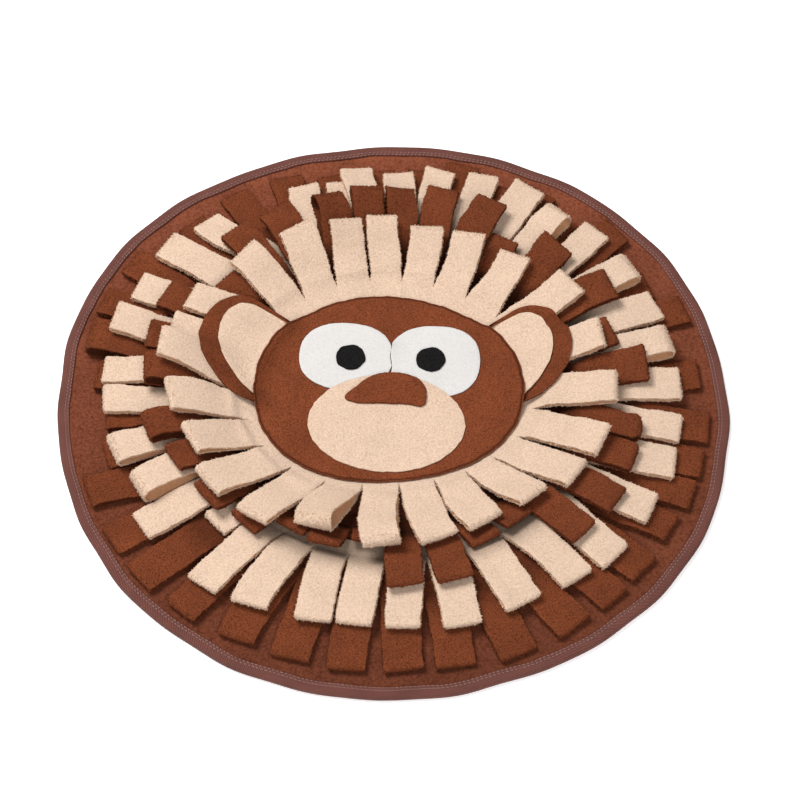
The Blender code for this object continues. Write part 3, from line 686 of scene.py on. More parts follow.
class HeightMap:
    """Height map of all that has been laid down, seen from above."""

    CELL = 1.0 * MM
    HALF = 270 * MM

    def __init__(self) -> None:
        """Start with an empty floor."""
        count = int(2 * self.HALF / self.CELL)
        self.top = np.zeros((count, count))

    def cells(self, places: Array) -> tuple:
        """Row and column of each place in an array of (x, y)."""
        found = np.clip(((places + self.HALF) / self.CELL).astype(int), 1, len(self.top) - 2)
        return found[..., 0], found[..., 1]

    def add(self, points: Array) -> None:
        """Raise the map to an array of points."""
        rows, columns = self.cells(points[..., :2])
        np.maximum.at(self.top, (rows.ravel(), columns.ravel()), points[..., 2].ravel())

    def at(self, places: Array) -> Array:
        """Height at each place."""
        return self.top[self.cells(places)]

    def near(self, places: Array) -> Array:
        """Highest point within a cell or two of each place.

        Args:
            places: An array of (x, y).

        Returns:
            The heights.
        """
        rows, columns = self.cells(places)
        found = self.top[rows, columns]
        for i in (-1, 0, 1):
            for j in (-1, 0, 1):
                found = np.maximum(found, self.top[rows + i, columns + j])
        return found

    def add_grid(self, grid: Array, wrap: bool = False) -> None:
        """Raise the map to a surface.

        Args:
            grid: The surface, as rows and columns of points.
            wrap: Whether the last column joins the first.
        """
        if wrap:
            grid = np.concatenate((grid, grid[:, :1]), 1)
        for axis in (0, 1):
            steps = np.abs(np.diff(grid[..., :2], axis=axis)).max() / (0.7 * self.CELL)
            shares = np.linspace(0, 1, max(2, int(math.ceil(steps)) + 1))[:-1]
            first, second = np.split(grid, [-1], axis)[0], np.split(grid, [1], axis)[1]
            parts = [(1 - f) * first + f * second for f in shares]
            last = np.split(grid, [-1], axis)[1]
            grid = np.concatenate(parts + [last], axis)
        self.add(grid)

    def add_disc(self, radius: float, height: float) -> None:
        """Lay down a flat round cloth in the map's middle.

        Args:
            radius: Its radius.
            height: The height of its upper side.
        """
        axis = (np.arange(len(self.top)) + 0.5) * self.CELL - self.HALF
        x, y = np.meshgrid(axis, axis, indexing="ij")
        self.top[np.hypot(x, y) < radius] = height


def draped(floor: Array, rounds: int, wrap: bool) -> Array:
    """Lay a springy sheet on a floor of heights.

    Args:
        floor: Lowest allowed height at each row and column of the sheet.
        rounds: How far stiffness spreads, in steps of the grid.
        wrap: Whether the last column joins the first.

    Returns:
        The sheet's heights.
    """
    height = floor.copy()
    for k in range(rounds + 6):
        padded = np.pad(height, 1, mode="edge")
        if wrap:
            padded[:, 0], padded[:, -1] = padded[:, -2], padded[:, 1]
        mean = (padded[:-2, 1:-1] + padded[2:, 1:-1] + padded[1:-1, :-2] + padded[1:-1, 2:]) / 4
        height = np.maximum(floor, mean) if k < rounds else 0.5 * np.maximum(floor, mean) + 0.5 * mean
    return height


def raised(ground: Array, height: Array | float) -> Array:
    """Points over an array of (x, y), at one height or at a height for each."""
    return np.concatenate((ground, np.broadcast_to(height, ground.shape[:-1])[..., None]), -1)


def cut_size(outline: Array) -> tuple:
    """Measure a cut-out laid flat.

    Args:
        outline: The points (x, y) of its outline.

    Returns:
        Its width and length in metres, as a pair, and its area in square metres.
    """
    x, y = outline.T
    area = abs(float(np.dot(x, np.roll(y, -1)) - np.dot(y, np.roll(x, -1)))) / 2
    across = outline.max(axis=0) - outline.min(axis=0)
    return (float(across[0]), float(across[1])), area


def declare(obj: Piece, slot: Slot, node: str, flat: tuple, held: Held, rests_on: list, **facts) -> None:
    """Hang a sheet on the body, hide the CAD part that it stands for and log how many faces it has.

    Args:
        obj: The piece.
        slot: The material slot it takes its finish from. Not used.
        node: The CAD node it stands for.
        flat: Width and length it was cut to, in metres. Not used.
        held: How it is held. Not used.
        rests_on: Names of what it lies on. Not used.
        facts: Its flat area in square metres, where the cut isn't a rectangle, and pieces on it. Not used.
    """
    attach(obj, BODY)
    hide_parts(node)
    log.info("%s: %d faces", obj.name, len(obj.data.polygons))


# ---------------------------------------------------------------------------------------------
# What repeats: stitches and tufts
# ---------------------------------------------------------------------------------------------


def finish_tree(tree: Tree, shape: object, finish: object, out: Node) -> None:
    """End a tree in Realize Instances and Set Material.

    Args:
        tree: The tree.
        shape: The socket with its shape.
        finish: The socket with its material.
        out: Its output node.
    """
    real = add_node(tree, "GeometryNodeRealizeInstances", {"Geometry": shape})
    painted = add_node(tree, "GeometryNodeSetMaterial", {"Geometry": real.outputs[0], "Material": finish})
    plug(tree, out.inputs[0], painted.outputs[0])


def wander(tree: Tree, low: tuple, high: tuple, seed: object) -> Socket:
    """A random vector between two others for each point."""
    inputs = {0: low, 1: high, "Seed": seed}
    return add_node(tree, "FunctionNodeRandomValue", inputs, data_type="FLOAT_VECTOR").outputs[0]


def stitch_tree() -> tuple:
    """Tree that sets stitches along the edges of a mesh line.

    Returns:
        The tree and its inputs' identifiers by name.
    """
    tree, given, out, names = new_tree(
        "GeometryNodeTree", "stitches",
        {
            "Geometry": ("Geometry", None), "Count": ("Int", 100), "Stitch": ("Float", 0.002),
            "Thread": ("Float", 0.0003), "Seed": ("Int", 1), "Finish": ("Material", None),
        },
        {"Geometry": "Geometry"},
    )
    values = given.outputs
    line = add_node(tree, "GeometryNodeMeshToCurve", {"Mesh": values["Geometry"]})
    spaced = add_node(tree, "GeometryNodeResampleCurve", {"Curve": line.outputs[0], "Count": values["Count"]})
    tangent = tree.nodes.new("GeometryNodeInputTangent")
    turned = add_node(tree, "FunctionNodeAlignRotationToVector", {"Vector": tangent.outputs[0]}, axis="X")
    bead = add_node(tree, "GeometryNodeMeshIcoSphere", {"Radius": 1.0, "Subdivisions": 1})
    size = add_node(
        tree, "ShaderNodeCombineXYZ", {0: values["Stitch"], 1: values["Thread"], 2: values["Thread"]}
    )
    thread = add_node(tree, "GeometryNodeTransform", {"Geometry": bead.outputs[0], "Scale": size.outputs[0]})
    placed = add_node(
        tree, "GeometryNodeInstanceOnPoints",
        {
            "Points": spaced.outputs[0], "Instance": thread.outputs[0], "Rotation": turned.outputs[0],
            "Scale": wander(tree, (0.7, 0.8, 0.8), (1.1, 1.2, 1.3), values["Seed"]),
        },
    )
    finish_tree(tree, placed.outputs[0], values["Finish"], out)
    return tree, names


def tuft_tree() -> tuple:
    """Tree that sets small tufts on the cut edges of a cloth and keeps the cloth.

    Returns:
        The tree and its inputs' identifiers by name.
    """
    tree, given, out, names = new_tree(
        "GeometryNodeTree", "cut edge tufts",
        {
            "Geometry": ("Geometry", None), "Density": ("Float", 300000.0), "Length": ("Float", 0.001),
            "Thickness": ("Float", 0.0003), "Seed": ("Int", 1), "Finish": ("Material", None),
        },
        {"Geometry": "Geometry"},
    )
    values = given.outputs
    mark = add_node(tree, "GeometryNodeInputNamedAttribute", {"Name": "fuzz"}, data_type="FLOAT")
    density = maths(tree, "MULTIPLY", mark.outputs[0], values["Density"])
    scattered = add_node(
        tree, "GeometryNodeDistributePointsOnFaces",
        {"Mesh": values["Geometry"], "Density": density, "Seed": values["Seed"]}, distribute_method="RANDOM",
    )
    cone = add_node(
        tree, "GeometryNodeMeshCone",
        {"Vertices": 3, "Radius Top": 0.0, "Radius Bottom": values["Thickness"], "Depth": values["Length"]},
        fill_type="NGON",
    )
    lean = wander(tree, (-0.9, -0.9, 0.0), (0.9, 0.9, 6.28), values["Seed"])
    turned = add_node(
        tree, "FunctionNodeRotateRotation",
        {
            "Rotation": scattered.outputs["Rotation"],
            "Rotate By": add_node(tree, "FunctionNodeEulerToRotation", {0: lean}).outputs[0],
        },
        rotation_space="LOCAL",
    )
    size = add_node(
        tree, "FunctionNodeRandomValue",
        {2: 0.45, 3: 1.25, "Seed": maths(tree, "ADD", values["Seed"], 7.0)}, data_type="FLOAT",
    )
    placed = add_node(
        tree, "GeometryNodeInstanceOnPoints",
        {
            "Points": scattered.outputs["Points"], "Instance": cone.outputs["Mesh"],
            "Rotation": turned.outputs[0], "Scale": size.outputs[1],
        },
    )
    joined = tree.nodes.new("GeometryNodeJoinGeometry")
    for shape in (values["Geometry"], placed.outputs[0]):
        plug(tree, joined.inputs[0], shape)
    finish_tree(tree, joined.outputs[0], values["Finish"], out)
    return tree, names


def grow(obj: Piece, make: object, values: dict) -> None:
    """Run a Geometry Nodes tree on an object and keep its result as a plain mesh.

    Args:
        obj: The object that the tree works on, which gets the tree's result as its mesh.
        make: The function that makes the tree.
        values: The tree's inputs by name.
    """
    tree, names = once(make)
    modifier = obj.modifiers.new(tree.name, "NODES")
    modifier.node_group = tree
    for label, value in values.items():
        modifier[names[label]] = value
    shown = obj.evaluated_get(bpy.context.evaluated_depsgraph_get())
    mesh, old = bpy.data.meshes.new_from_object(shown), obj.data
    obj.modifiers.remove(modifier)
    obj.data, name = mesh, old.name
    bpy.data.meshes.remove(old)
    mesh.name = name


def stitch_ring(name: str, points: Array, count: int, sizes: tuple, finish: Material) -> Piece:
    """A row of stitches along a closed line.

    Args:
        name: The piece's name.
        points: Points of the line in the tables' frame.
        count: How many stitches.
        sizes: Half length and half thickness of a stitch, in metres.
        finish: The thread's material.

    Returns:
        The piece.
    """
    placed = points.copy()
    placed[:, :2] += TO_ORIGIN
    mesh = bpy.data.meshes.new(name)
    mesh.from_pydata(placed.tolist(), [(i, (i + 1) % len(placed)) for i in range(len(placed))], [])
    obj = add_object(name, mesh)
    values = {"Count": count, "Stitch": sizes[0], "Thread": sizes[1], "Seed": 3, "Finish": finish}
    grow(obj, stitch_tree, values)
    obj.data.shade_smooth()
    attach(obj, BODY)
    return obj


# ---------------------------------------------------------------------------------------------
# The rings of strips
# ---------------------------------------------------------------------------------------------


@dataclass(frozen=True)
class Strip:
    """Where one strip's fold lies, seen from above."""

    tip: float  # degrees
    reach: float  # mm
    turn: float  # degrees
    width: float  # mm
    gape: float  # mm
    skew: float = 0.0  # share by which the gape is larger at its left side, looking out, than in its middle
    twist: float = 0.0  # how far its upper layer is pushed to the right, mm
    corner: float = 1.2  # radius of the fold's corners, mm


@dataclass
class Plan:
    """A strip seen from above: its middle line, its sideways directions and half its width."""

    along: Array
    middle: Array
    side: Array
    half: Array

    def at(self, s: Array) -> tuple:
        """Places along the strip.

        Args:
            s: Distances along it.

        Returns:
            The middle, the sideways direction and the half width at each.
        """
        x, y, u, v = (np.interp(s, self.along, line) for line in (*self.middle.T, *self.side.T))
        size = np.hypot(u, v)
        return np.stack((x, y), -1), np.stack((u / size, v / size), -1), np.interp(s, self.along, self.half)


@dataclass
class Ribbon:
    """A strip that has settled: its side view, and how it bends across."""

    strip: Strip
    plan: Plan
    line: Array  # its underside at each section: distance along the strip and height
    ahead: Array  # direction along it
    upward: Array  # direction square to it
    gap: Array  # how far the layers stand apart
    gap_end: float  # and at the fold
    lean: float  # slope across
    cup: float  # how far the edges stand over the middle, metres
    sway: float  # how far it rolls to and fro, metres
    phase: float

    ARC = 6  # steps round the fold
    ACROSS = np.array((-1, -0.94, -0.62, -0.22, 0.22, 0.62, 0.94, 1))  # columns, in half widths
    EDGE = 0.93  # where across the strip its cut edge starts to thin, in half widths
    THINNING = 0.07  # and how far across it goes on thinning
    RIPPLE = 0.3 * MM

    @staticmethod
    def leaning(share: Array) -> Array:
        """How much of its slope across a strip has at shares of its length."""
        return np.clip(share * 1.6 - 0.3, 0, 1)

    def surface(self, bottom: float, arc_radius: float, top: Array, thin: float, first: int) -> Array:
        """Rows of points along the underside, round the fold and back along the top.

        Args:
            bottom: Rise of the lower surface over the ribbon's underside.
            arc_radius: Radius round the fold.
            top: Rise of the upper surface at each section.
            thin: How much the surface gives way at the cut edges.
            first: The section it starts at.

        Returns:
            The points, one row for each place along the path.
        """
        across = self.ACROSS
        up = np.linspace(-math.pi / 2, math.pi / 2, self.ARC + 1)[1:-1, None]
        arc = np.cos(up) * self.ahead[-1] + np.sin(up) * self.upward[-1]
        hub = self.line[-1] + self.upward[-1] * (FLEECE + self.gap_end / 2)
        under = (self.line + self.upward * bottom)[first:]
        over = (self.line + self.upward * top[:, None])[first:][::-1]
        path = np.concatenate((under, hub + arc_radius * arc, over))
        away = np.concatenate((-self.upward[first:], arc, self.upward[first:][::-1]))
        at_fold = self.gap_end * (1 + np.sin(up[:, 0])) / 2
        opened = np.concatenate((np.zeros(len(under)), at_fold, self.gap[first:][::-1]))[:, None]
        edge = np.clip((np.abs(across) - self.EDGE) / self.THINNING, 0, 1) * thin
        full = path[:, None] - away[:, None] * edge[:, None]
        middle, side, half = self.plan.at(full[..., 0])
        part = np.clip(path[:, :1] / self.plan.along[-1], 0, 1)
        free = smooth((part - 0.05) / 0.3)
        reach = half * across
        points = np.concatenate((middle + side * reach[..., None], full[..., 1:]), -1)
        tilt = self.lean * self.leaning(part) * reach
        bow = free * (self.cup * across**2)
        roll = free * self.sway * np.sin(part * 5 + self.phase) * across
        ripple = free * self.RIPPLE * np.sin(part * 11 + 2 * self.phase)
        skewed = opened * self.strip.skew * across
        pushed = np.clip(opened / self.gap_end, 0, 1) * self.strip.twist * MM * np.sin(math.pi * part**0.8)
        points[..., :2] -= side * pushed[..., None]
        points[..., 2] += tilt + bow + roll + ripple + skewed + 0.5 * abs(self.sway) * free
        return points


@dataclass
class FringeRing:
    """One band of fleece folded double, sewn down by its raw edges and slit from the fold."""

    name: str
    slot: Slot
    rows: tuple
    centre: tuple  # mm
    seam: float  # radius of the inner edge in mm, or 0 where it follows the face
    slit: float  # from there to the inner end of the slits, mm
    slit_wave: float
    root: float  # height of the band's underside at the slits, mm
    seam_root: float  # and at the seam, mm
    rise: float  # slope at which the strips leave the band
    cloth: float  # cloth from the slits to the fold, mm
    spring: float  # bending stiffness over weight, 1e-5 cubic metres
    hump: float  # how far the layers part where they leave the band, mm
    lift: float  # how far a strip's end may stand off what is under it, mm
    painted_root_shade: float  # painted shade: how dark the cloth is painted at the strips' roots and on the band at the seam, which lie in the shade of the rings above, from 0 to 1
    rests_on: tuple
    seed: int

    SECTIONS = 26
    CREASE = 2  # section at which a strip's two layers part
    EASE = 5  # sections over which they part
    BAND_ROWS = 4
    LEANS = np.linspace(-0.35, 0.35, 15)
    SLIT = 0.3 * MM
    WAVER, WAVER_LENGTH = 0.3 * MM, 45 * MM  # how a strip's width varies
    SNAKE, SNAKE_LENGTH = 0.25 * MM, 50 * MM  # and its middle line
    NECK, NECK_LENGTH = 0.75 * MM, 9 * MM  # how much narrower than the slits' spacing it soon is
    LANE = 18 * MM
    LANE_MARGIN = 1.8 * MM
    LOOSE = 5  # a strip that gapes more than this, mm, lies on top of its neighbours
    CLEAR = 0.25 * MM
    STEEP = 0.75  # steepest slope at which a strip is pushed up near its root
    PUSH = 60  # how hard what lies below pushes back, against the strip's own stiffness
    SINK = 0.3 * MM  # how far a strip may press into it
    RAGGED = 0.22 * MM
    TUCKED, FADE = 0.1, 0.3  # shares of a strip at which the painted shade starts to fade, and over which it fades
    FOLD_FUZZ = 0.55  # tufts on a fold, against those on a cut edge
    TUFTS = {"Density": 900000.0, "Length": 1.25 * MM, "Thickness": 0.42 * MM}  # density a square metre

    def __post_init__(self) -> None:
        """Read the table of strips."""
        self.strips = [Strip(*row) for row in self.rows]
        self.rng = np.random.default_rng(self.seed)

    def edge(self, angle: Array, share: float) -> Array:
        """Points of the band at angles about its centre.

        Args:
            angle: The angles in radians.
            share: How far out, from 0 at the seam to 1 at the inner end of the slits.

        Returns:
            The points (x, y).
        """
        out = share * (self.slit + self.slit_wave * np.sin(angle)) * MM
        radius = self.seam * MM + out if self.seam else face_radius(angle) - FACE_TUCK + out
        return np.array(self.centre) * MM + np.asarray(radius)[..., None] * direction(angle)

    def cuts(self) -> Array:
        """Share the band out among the strips.

        Returns:
            The angle about the ring's centre of the cut before each strip, and of the last one's end.
        """
        steps = np.radians(np.arange(0, 361))
        line = self.edge(steps, 1)
        length = lengths(line)
        around, count = length[-1], len(self.strips)
        tips = np.array([s.reach * MM * direction(math.radians(s.tip)) for s in self.strips])
        tips = tips - np.array(self.centre) * MM
        wanted = np.interp(np.arctan2(tips[:, 1], tips[:, 0]) % (2 * math.pi), steps, length)
        even = -np.arange(count) * around / count
        drift = wanted - even
        drift = (drift - drift[0] + around / 2) % around - around / 2 + drift[0]
        ends = np.concatenate((drift[-2:], drift, drift[:2]))
        middles = even + np.convolve(ends, np.full(5, 0.2), "valid")
        before = (np.append(middles[-1] + around, middles[:-1]) + middles) / 2
        return np.interp(np.append(before, before[0] - around) % around, length, steps)

    def plan(self, strip: Strip, before: float, after: float) -> Plan:
        """Lay out a strip seen from above.

        Args:
            strip: Its row of the table.
            before: Angle of the cut on its left.
            after: Angle of the cut on its right.

        Returns:
            Its plan, from its root to its fold.
        """
        left, right = self.edge(np.array(before), 1), self.edge(np.array(after), 1)
        across = (left - right) / np.hypot(*(left - right))
        root_half = np.hypot(*(left - right)) / 2 - self.SLIT / 2
        start, outward = (left + right) / 2, np.array((across[1], -across[0]))
        end = strip.reach * MM * direction(math.radians(strip.tip))
        facing = direction(math.radians(strip.tip + strip.turn))
        reach = np.hypot(*(end - start))
        t = np.linspace(0, 1, 61)[:, None]
        middle = (
            (2 * t**3 - 3 * t**2 + 1) * start
            + (t**3 - 2 * t**2 + t) * reach * outward
            + (3 * t**2 - 2 * t**3) * end
            + (t**3 - t**2) * reach * facing
        )
        ahead = np.gradient(middle, axis=0)
        ahead /= np.hypot(*ahead.T)[:, None]
        side = np.stack((-ahead[:, 1], ahead[:, 0]), 1)
        side += (across - side[0]) * (1 - smooth(t / 0.12))
        along = lengths(middle)
        free = smooth(t[:, 0] / 0.15)
        half = root_half + (strip.width * MM / 2 - root_half) * smooth(t[:, 0] / 0.5)
        half = half + self.WAVER * wobble(self.rng, along, self.WAVER_LENGTH, 3) * free
        half = half - self.NECK * smooth(along / self.NECK_LENGTH)
        corner = (strip.corner + self.rng.uniform(-0.5, 1.0)) * MM
        bend = np.clip((along - along[-1] + corner) / corner, 0, 1)
        half = half - corner * (1 - np.sqrt(1 - 0.98 * bend**2))
        snake = self.SNAKE * wobble(self.rng, along, self.SNAKE_LENGTH, 3) * free
        middle = middle + side * snake[:, None]
        return Plan(along, middle, side, half)

    def gap_at(self, strip: Strip, share: Array) -> Array:
        """How far a strip's layers stand apart at shares of its length.

        A loose one opens all the way to its fold.  Any other lies shut but for a hump where it bends
        over its root, and opens a little at its fold.

        Args:
            strip: Its row of the table.
            share: Shares of its length.

        Returns:
            The gap there, in metres.
        """
        full = strip.gape * MM
        if strip.gape > self.LOOSE:
            return full * (0.04 + 0.96 * np.clip((share - 0.08) / 0.74, 0, 1) ** 0.9)
        low = (0.35 + 0.12 * strip.gape) * MM
        hump = self.hump * MM * self.rng.uniform(0.3, 1.0) * np.exp(-(((share - 0.17) / 0.085) ** 2))
        return low + (max(full, 0.8 * MM) - low) * smooth((share - 0.35) / 0.6) + hump

    def settled(self, floor: Array, step: float) -> Array:
        """Heights of a springy ribbon that leaves the band at a slope and lies on a floor.

        Args:
            floor: Lowest height at each section.
            step: Distance between two sections.

        Returns:
            The height at each section.
        """
        count = len(floor)
        bend = np.zeros((count - 2, count))
        for i in range(count - 2):
            bend[i, i : i + 3] = (1, -2, 1)
        stiff = self.spring * 1e-5 / step**3 * bend.T @ bend
        fixed = np.array((self.root * MM, self.root * MM + self.rise * step))
        free = slice(2, count)
        load = -step - stiff[free, :2] @ fixed
        matrix, low = stiff[free, free], floor[free]
        push = self.PUSH * self.spring * 1e-5 / step**3
        touching = np.ones(count - 2, bool)
        for _ in range(40):
            held = matrix + push * np.diag(touching.astype(float))
            height = np.linalg.solve(held, load + push * touching * low)
            now = height < low
            if (now == touching).all():
                break
            touching = now
        return np.concatenate((fixed, np.maximum(height, low - self.SINK)))

    def lay_strip(self, strip: Strip, plan: Plan, pile: HeightMap, laid: HeightMap) -> tuple:
        """Let a strip settle on what lies under it.

        Args:
            strip: Its row of the table.
            plan: Its plan.
            pile: All that was laid before this ring.
            laid: The strips of this ring that lie already, to which this one is added.

        Returns:
            Its outer and its inner surface, each as rows of points from the root along the underside,
            round the fold and back along the top.
        """
        gap_end = float(self.gap_at(strip, np.array(1.0)))
        s = np.linspace(0, plan.along[-1] - (FLEECE + gap_end / 2), self.SECTIONS + 1)
        share = s / plan.along[-1]
        lane = plan.at(s)[2] - np.where(s < self.LANE, self.LANE_MARGIN, 0)
        offset = lane[:, None] * np.linspace(-1, 1, 21)[None, :]
        need = np.zeros_like(offset)
        for shift in (-0.35, 0.0, 0.35):
            middle, side, _ = plan.at(s + shift * (s[1] - s[0]))
            spots = middle[:, None, :] + side[:, None, :] * offset[..., None]
            need = np.maximum(need, np.maximum(pile.near(spots), laid.at(spots)))
        need += self.CLEAR + self.lift * MM * self.rng.uniform(0.2, 1.0) * smooth(share / 0.8)[:, None]
        grown = Ribbon.leaning(share)[:, None]
        trials = [(need - lean * grown * offset).max(axis=1) for lean in self.LEANS]
        costs = [low[share > 0.5].mean() + 0.002 * abs(lean) for low, lean in zip(trials, self.LEANS)]
        best = int(np.argmin(costs))
        z = self.settled(np.minimum(trials[best], self.root * MM + self.STEEP * s), s[1] - s[0])
        slope = np.gradient(z, s)
        slope = np.convolve(np.pad(slope, 2, mode="edge"), np.full(5, 0.2), "valid")
        slope *= smooth(share / 0.15)
        ahead = np.stack((np.ones_like(s), slope), -1) / np.hypot(1, slope)[:, None]
        gap = self.gap_at(strip, share)
        gap *= smooth((np.arange(len(gap)) - self.CREASE) / self.EASE)
        ribbon = Ribbon(
            strip, plan, np.stack((s, z), -1), ahead, np.stack((-ahead[:, 1], ahead[:, 0]), -1), gap, gap_end,
            self.LEANS[best], cup=self.rng.uniform(0.0, 1.1) * MM, sway=self.rng.uniform(-0.8, 0.8) * MM,
            phase=self.rng.uniform(0, 6),
        )
        outer = ribbon.surface(0.0, FLEECE + gap_end / 2, 2 * FLEECE + gap, SHOULDER, 0)
        inner = ribbon.surface(FLEECE, gap_end / 2, FLEECE + gap, 0.0, self.CREASE)
        self.fray(outer, inner)
        laid.add_grid(outer[self.SECTIONS :])
        return outer, inner

    def fray(self, outer: Array, inner: Array) -> None:
        """Make a strip's cut edges a little uneven, each layer by itself.

        Args:
            outer: Its outside surface, changed in place.
            inner: Its inside surface, changed in place.
        """
        count, first = len(outer), self.CREASE
        place = np.arange(count)
        for column in (0, -1):
            inward = outer[:, -1 - column] - outer[:, column]
            inward /= np.linalg.norm(inward, axis=1)[:, None]
            ragged = self.RAGGED * self.rng.uniform(-1, 1, count)
            ragged = ragged + 0.25 * MM * wobble(self.rng, place * 2.3 * MM, 16 * MM)
            ragged *= smooth((np.minimum(place, count - 1 - place) - 1) / 3)
            outer[:, column] += inward * ragged[:, None]
            inner[:, column] += (inward * ragged[:, None])[first : count - first]

    def add_strip(self, shell: Shell, outside: Array, inside: Array) -> Array:
        """Add a strip to the ring's mesh.

        Args:
            shell: The ring's mesh in the making.
            outside: The strip's outer surface.
            inside: Its inner surface, whose last row is its first one.

        Returns:
            Numbers of its outer points.
        """
        first = self.CREASE
        along = np.arange(self.SECTIONS + 1) / self.SECTIONS
        along = np.concatenate((along, np.ones(Ribbon.ARC - 1), along[::-1]))
        # Painted shade on the outside of the strip near its root, which lies in the shade of the rings above;
        # it fades out along the strip.
        painted_shade = self.painted_root_shade * (1 - smooth((along - self.TUCKED) / self.FADE))
        # The inner side gets "cut" 1, where the finish paints shade or scattered light inside the fold.
        outer, inner = shell.put(outside, 0.0, painted_shade[:, None]), shell.put(inside[:-1], 1.0)
        inner = np.concatenate((inner, inner[:1]))
        fuzz = np.zeros(len(outer) - 1)
        fuzz[self.SECTIONS : self.SECTIONS + Ribbon.ARC] = self.FOLD_FUZZ
        shell.grid(outer, fuzz)
        shell.grid(inner)
        for column in (0, -1):
            edge = outer[:, column]
            shell.grid(np.stack((edge[first : len(edge) - first], inner[:, column])), 1.0)
            for k in range(first - 1):
                shell.face([edge[k], edge[k + 1], edge[-2 - k], edge[-1 - k]], 1.0)
            shell.face([edge[first - 1], edge[first], inner[0, column], edge[-1 - first], edge[-first]], 1.0)
        return outer

    def build(self, pile: HeightMap, finish: Material) -> None:
        """Args:
            pile: Height map of what lies under it, to which it is added.
            finish: Its fleece.
        """
        cuts = self.cuts()
        plans = [self.plan(s, cuts[i], cuts[i + 1]) for i, s in enumerate(self.strips)]
        order = sorted(
            range(len(plans)), key=lambda i: (self.strips[i].gape > self.LOOSE, self.strips[i].reach)
        )
        laid, made = HeightMap(), [None] * len(plans)
        for i in order:
            made[i] = self.lay_strip(self.strips[i], plans[i], pile, laid)
        shell = Shell()
        numbers = [self.add_strip(shell, *sides) for sides in made]
        area = self.add_band(shell, [outer for outer, _ in made], numbers, cuts, laid)
        pile.top = np.maximum(pile.top, laid.top)
        obj = shell.build(self.name, finish)
        obj.name = self.name + "_fleece"
        grow(obj, tuft_tree, {**self.TUFTS, "Seed": self.seed, "Finish": finish})
        wide = 2 * (self.slit + self.cloth) * MM
        declare(obj, self.slot, self.name, (wide, area / wide), Held.FOLDED, list(self.rests_on))

    def add_band(self, shell: Shell, outers: list, numbers: list, cuts: Array, laid: HeightMap) -> float:
        """Build the sewn band and join it to the strips.

        Args:
            shell: The ring's mesh in the making.
            outers: The strips' outer surfaces.
            numbers: The numbers of their points.
            cuts: Angles of the cuts.
            laid: Height map of this ring.

        Returns:
            The flat area of all the ring's cloth, in square metres.
        """
        angles, area = [], 0.0
        for i, outer in enumerate(outers):
            turn = (cuts[i + 1] - cuts[i] + math.pi) % (2 * math.pi) - math.pi
            angles.append(cuts[i] + turn * (1 - Ribbon.ACROSS[::-1]) / 2)
            steps = np.linalg.norm(np.diff(outer.mean(axis=1), axis=0), axis=1)
            widths = np.linalg.norm(outer[:, 0] - outer[:, -1], axis=1)
            area += float((steps * (widths[1:] + widths[:-1]) / 2).sum())
        angles, roots = np.concatenate(angles), np.concatenate([outer[0][::-1] for outer in outers])
        seam, thick = raised(self.edge(angles, 0), self.seam_root * MM), np.array((0, 0, 2 * FLEECE))
        lows, highs = [], []
        pucker = 0.25 * MM * wobble(self.rng, np.arange(len(angles)) * 4 * MM, 60 * MM, 5)
        for share in np.arange(self.BAND_ROWS) / self.BAND_ROWS:
            line = seam + (roots - seam) * share
            high = line + thick
            high[:, 2] += pucker * math.sin(math.pi * share)
            lows.append(shell.put(line))
            # The band's upper side, under the strips, gets the painted shade in full.
            highs.append(shell.put(high, 0.0, self.painted_root_shade))
        low = np.array([*lows, np.concatenate([n[0][::-1] for n in numbers])])
        high = np.array([*highs, np.concatenate([n[-1][::-1] for n in numbers])])
        shell.grid(low, 0, True)
        shell.grid(high, 0, True)
        shell.grid(np.stack((low[0], high[0])), 1.0, True)
        columns = len(Ribbon.ACROSS)
        for i in range(len(outers)):
            a, b = columns * i + columns - 1, (columns * (i + 1)) % len(angles)
            shell.face([low[-1, a], low[-1, b], high[-1, b], high[-1, a]], 1.0)
        laid.add_grid(np.stack((seam, roots)) + thick, True)
        depth = np.linalg.norm(roots[:, :2] - seam[:, :2], axis=1).mean()
        around = np.linalg.norm(np.diff((seam + roots) / 2, axis=0), axis=1).sum()
        return area + float(2 * depth * around)


# ---------------------------------------------------------------------------------------------
# Base, binding and stitches
# ---------------------------------------------------------------------------------------------


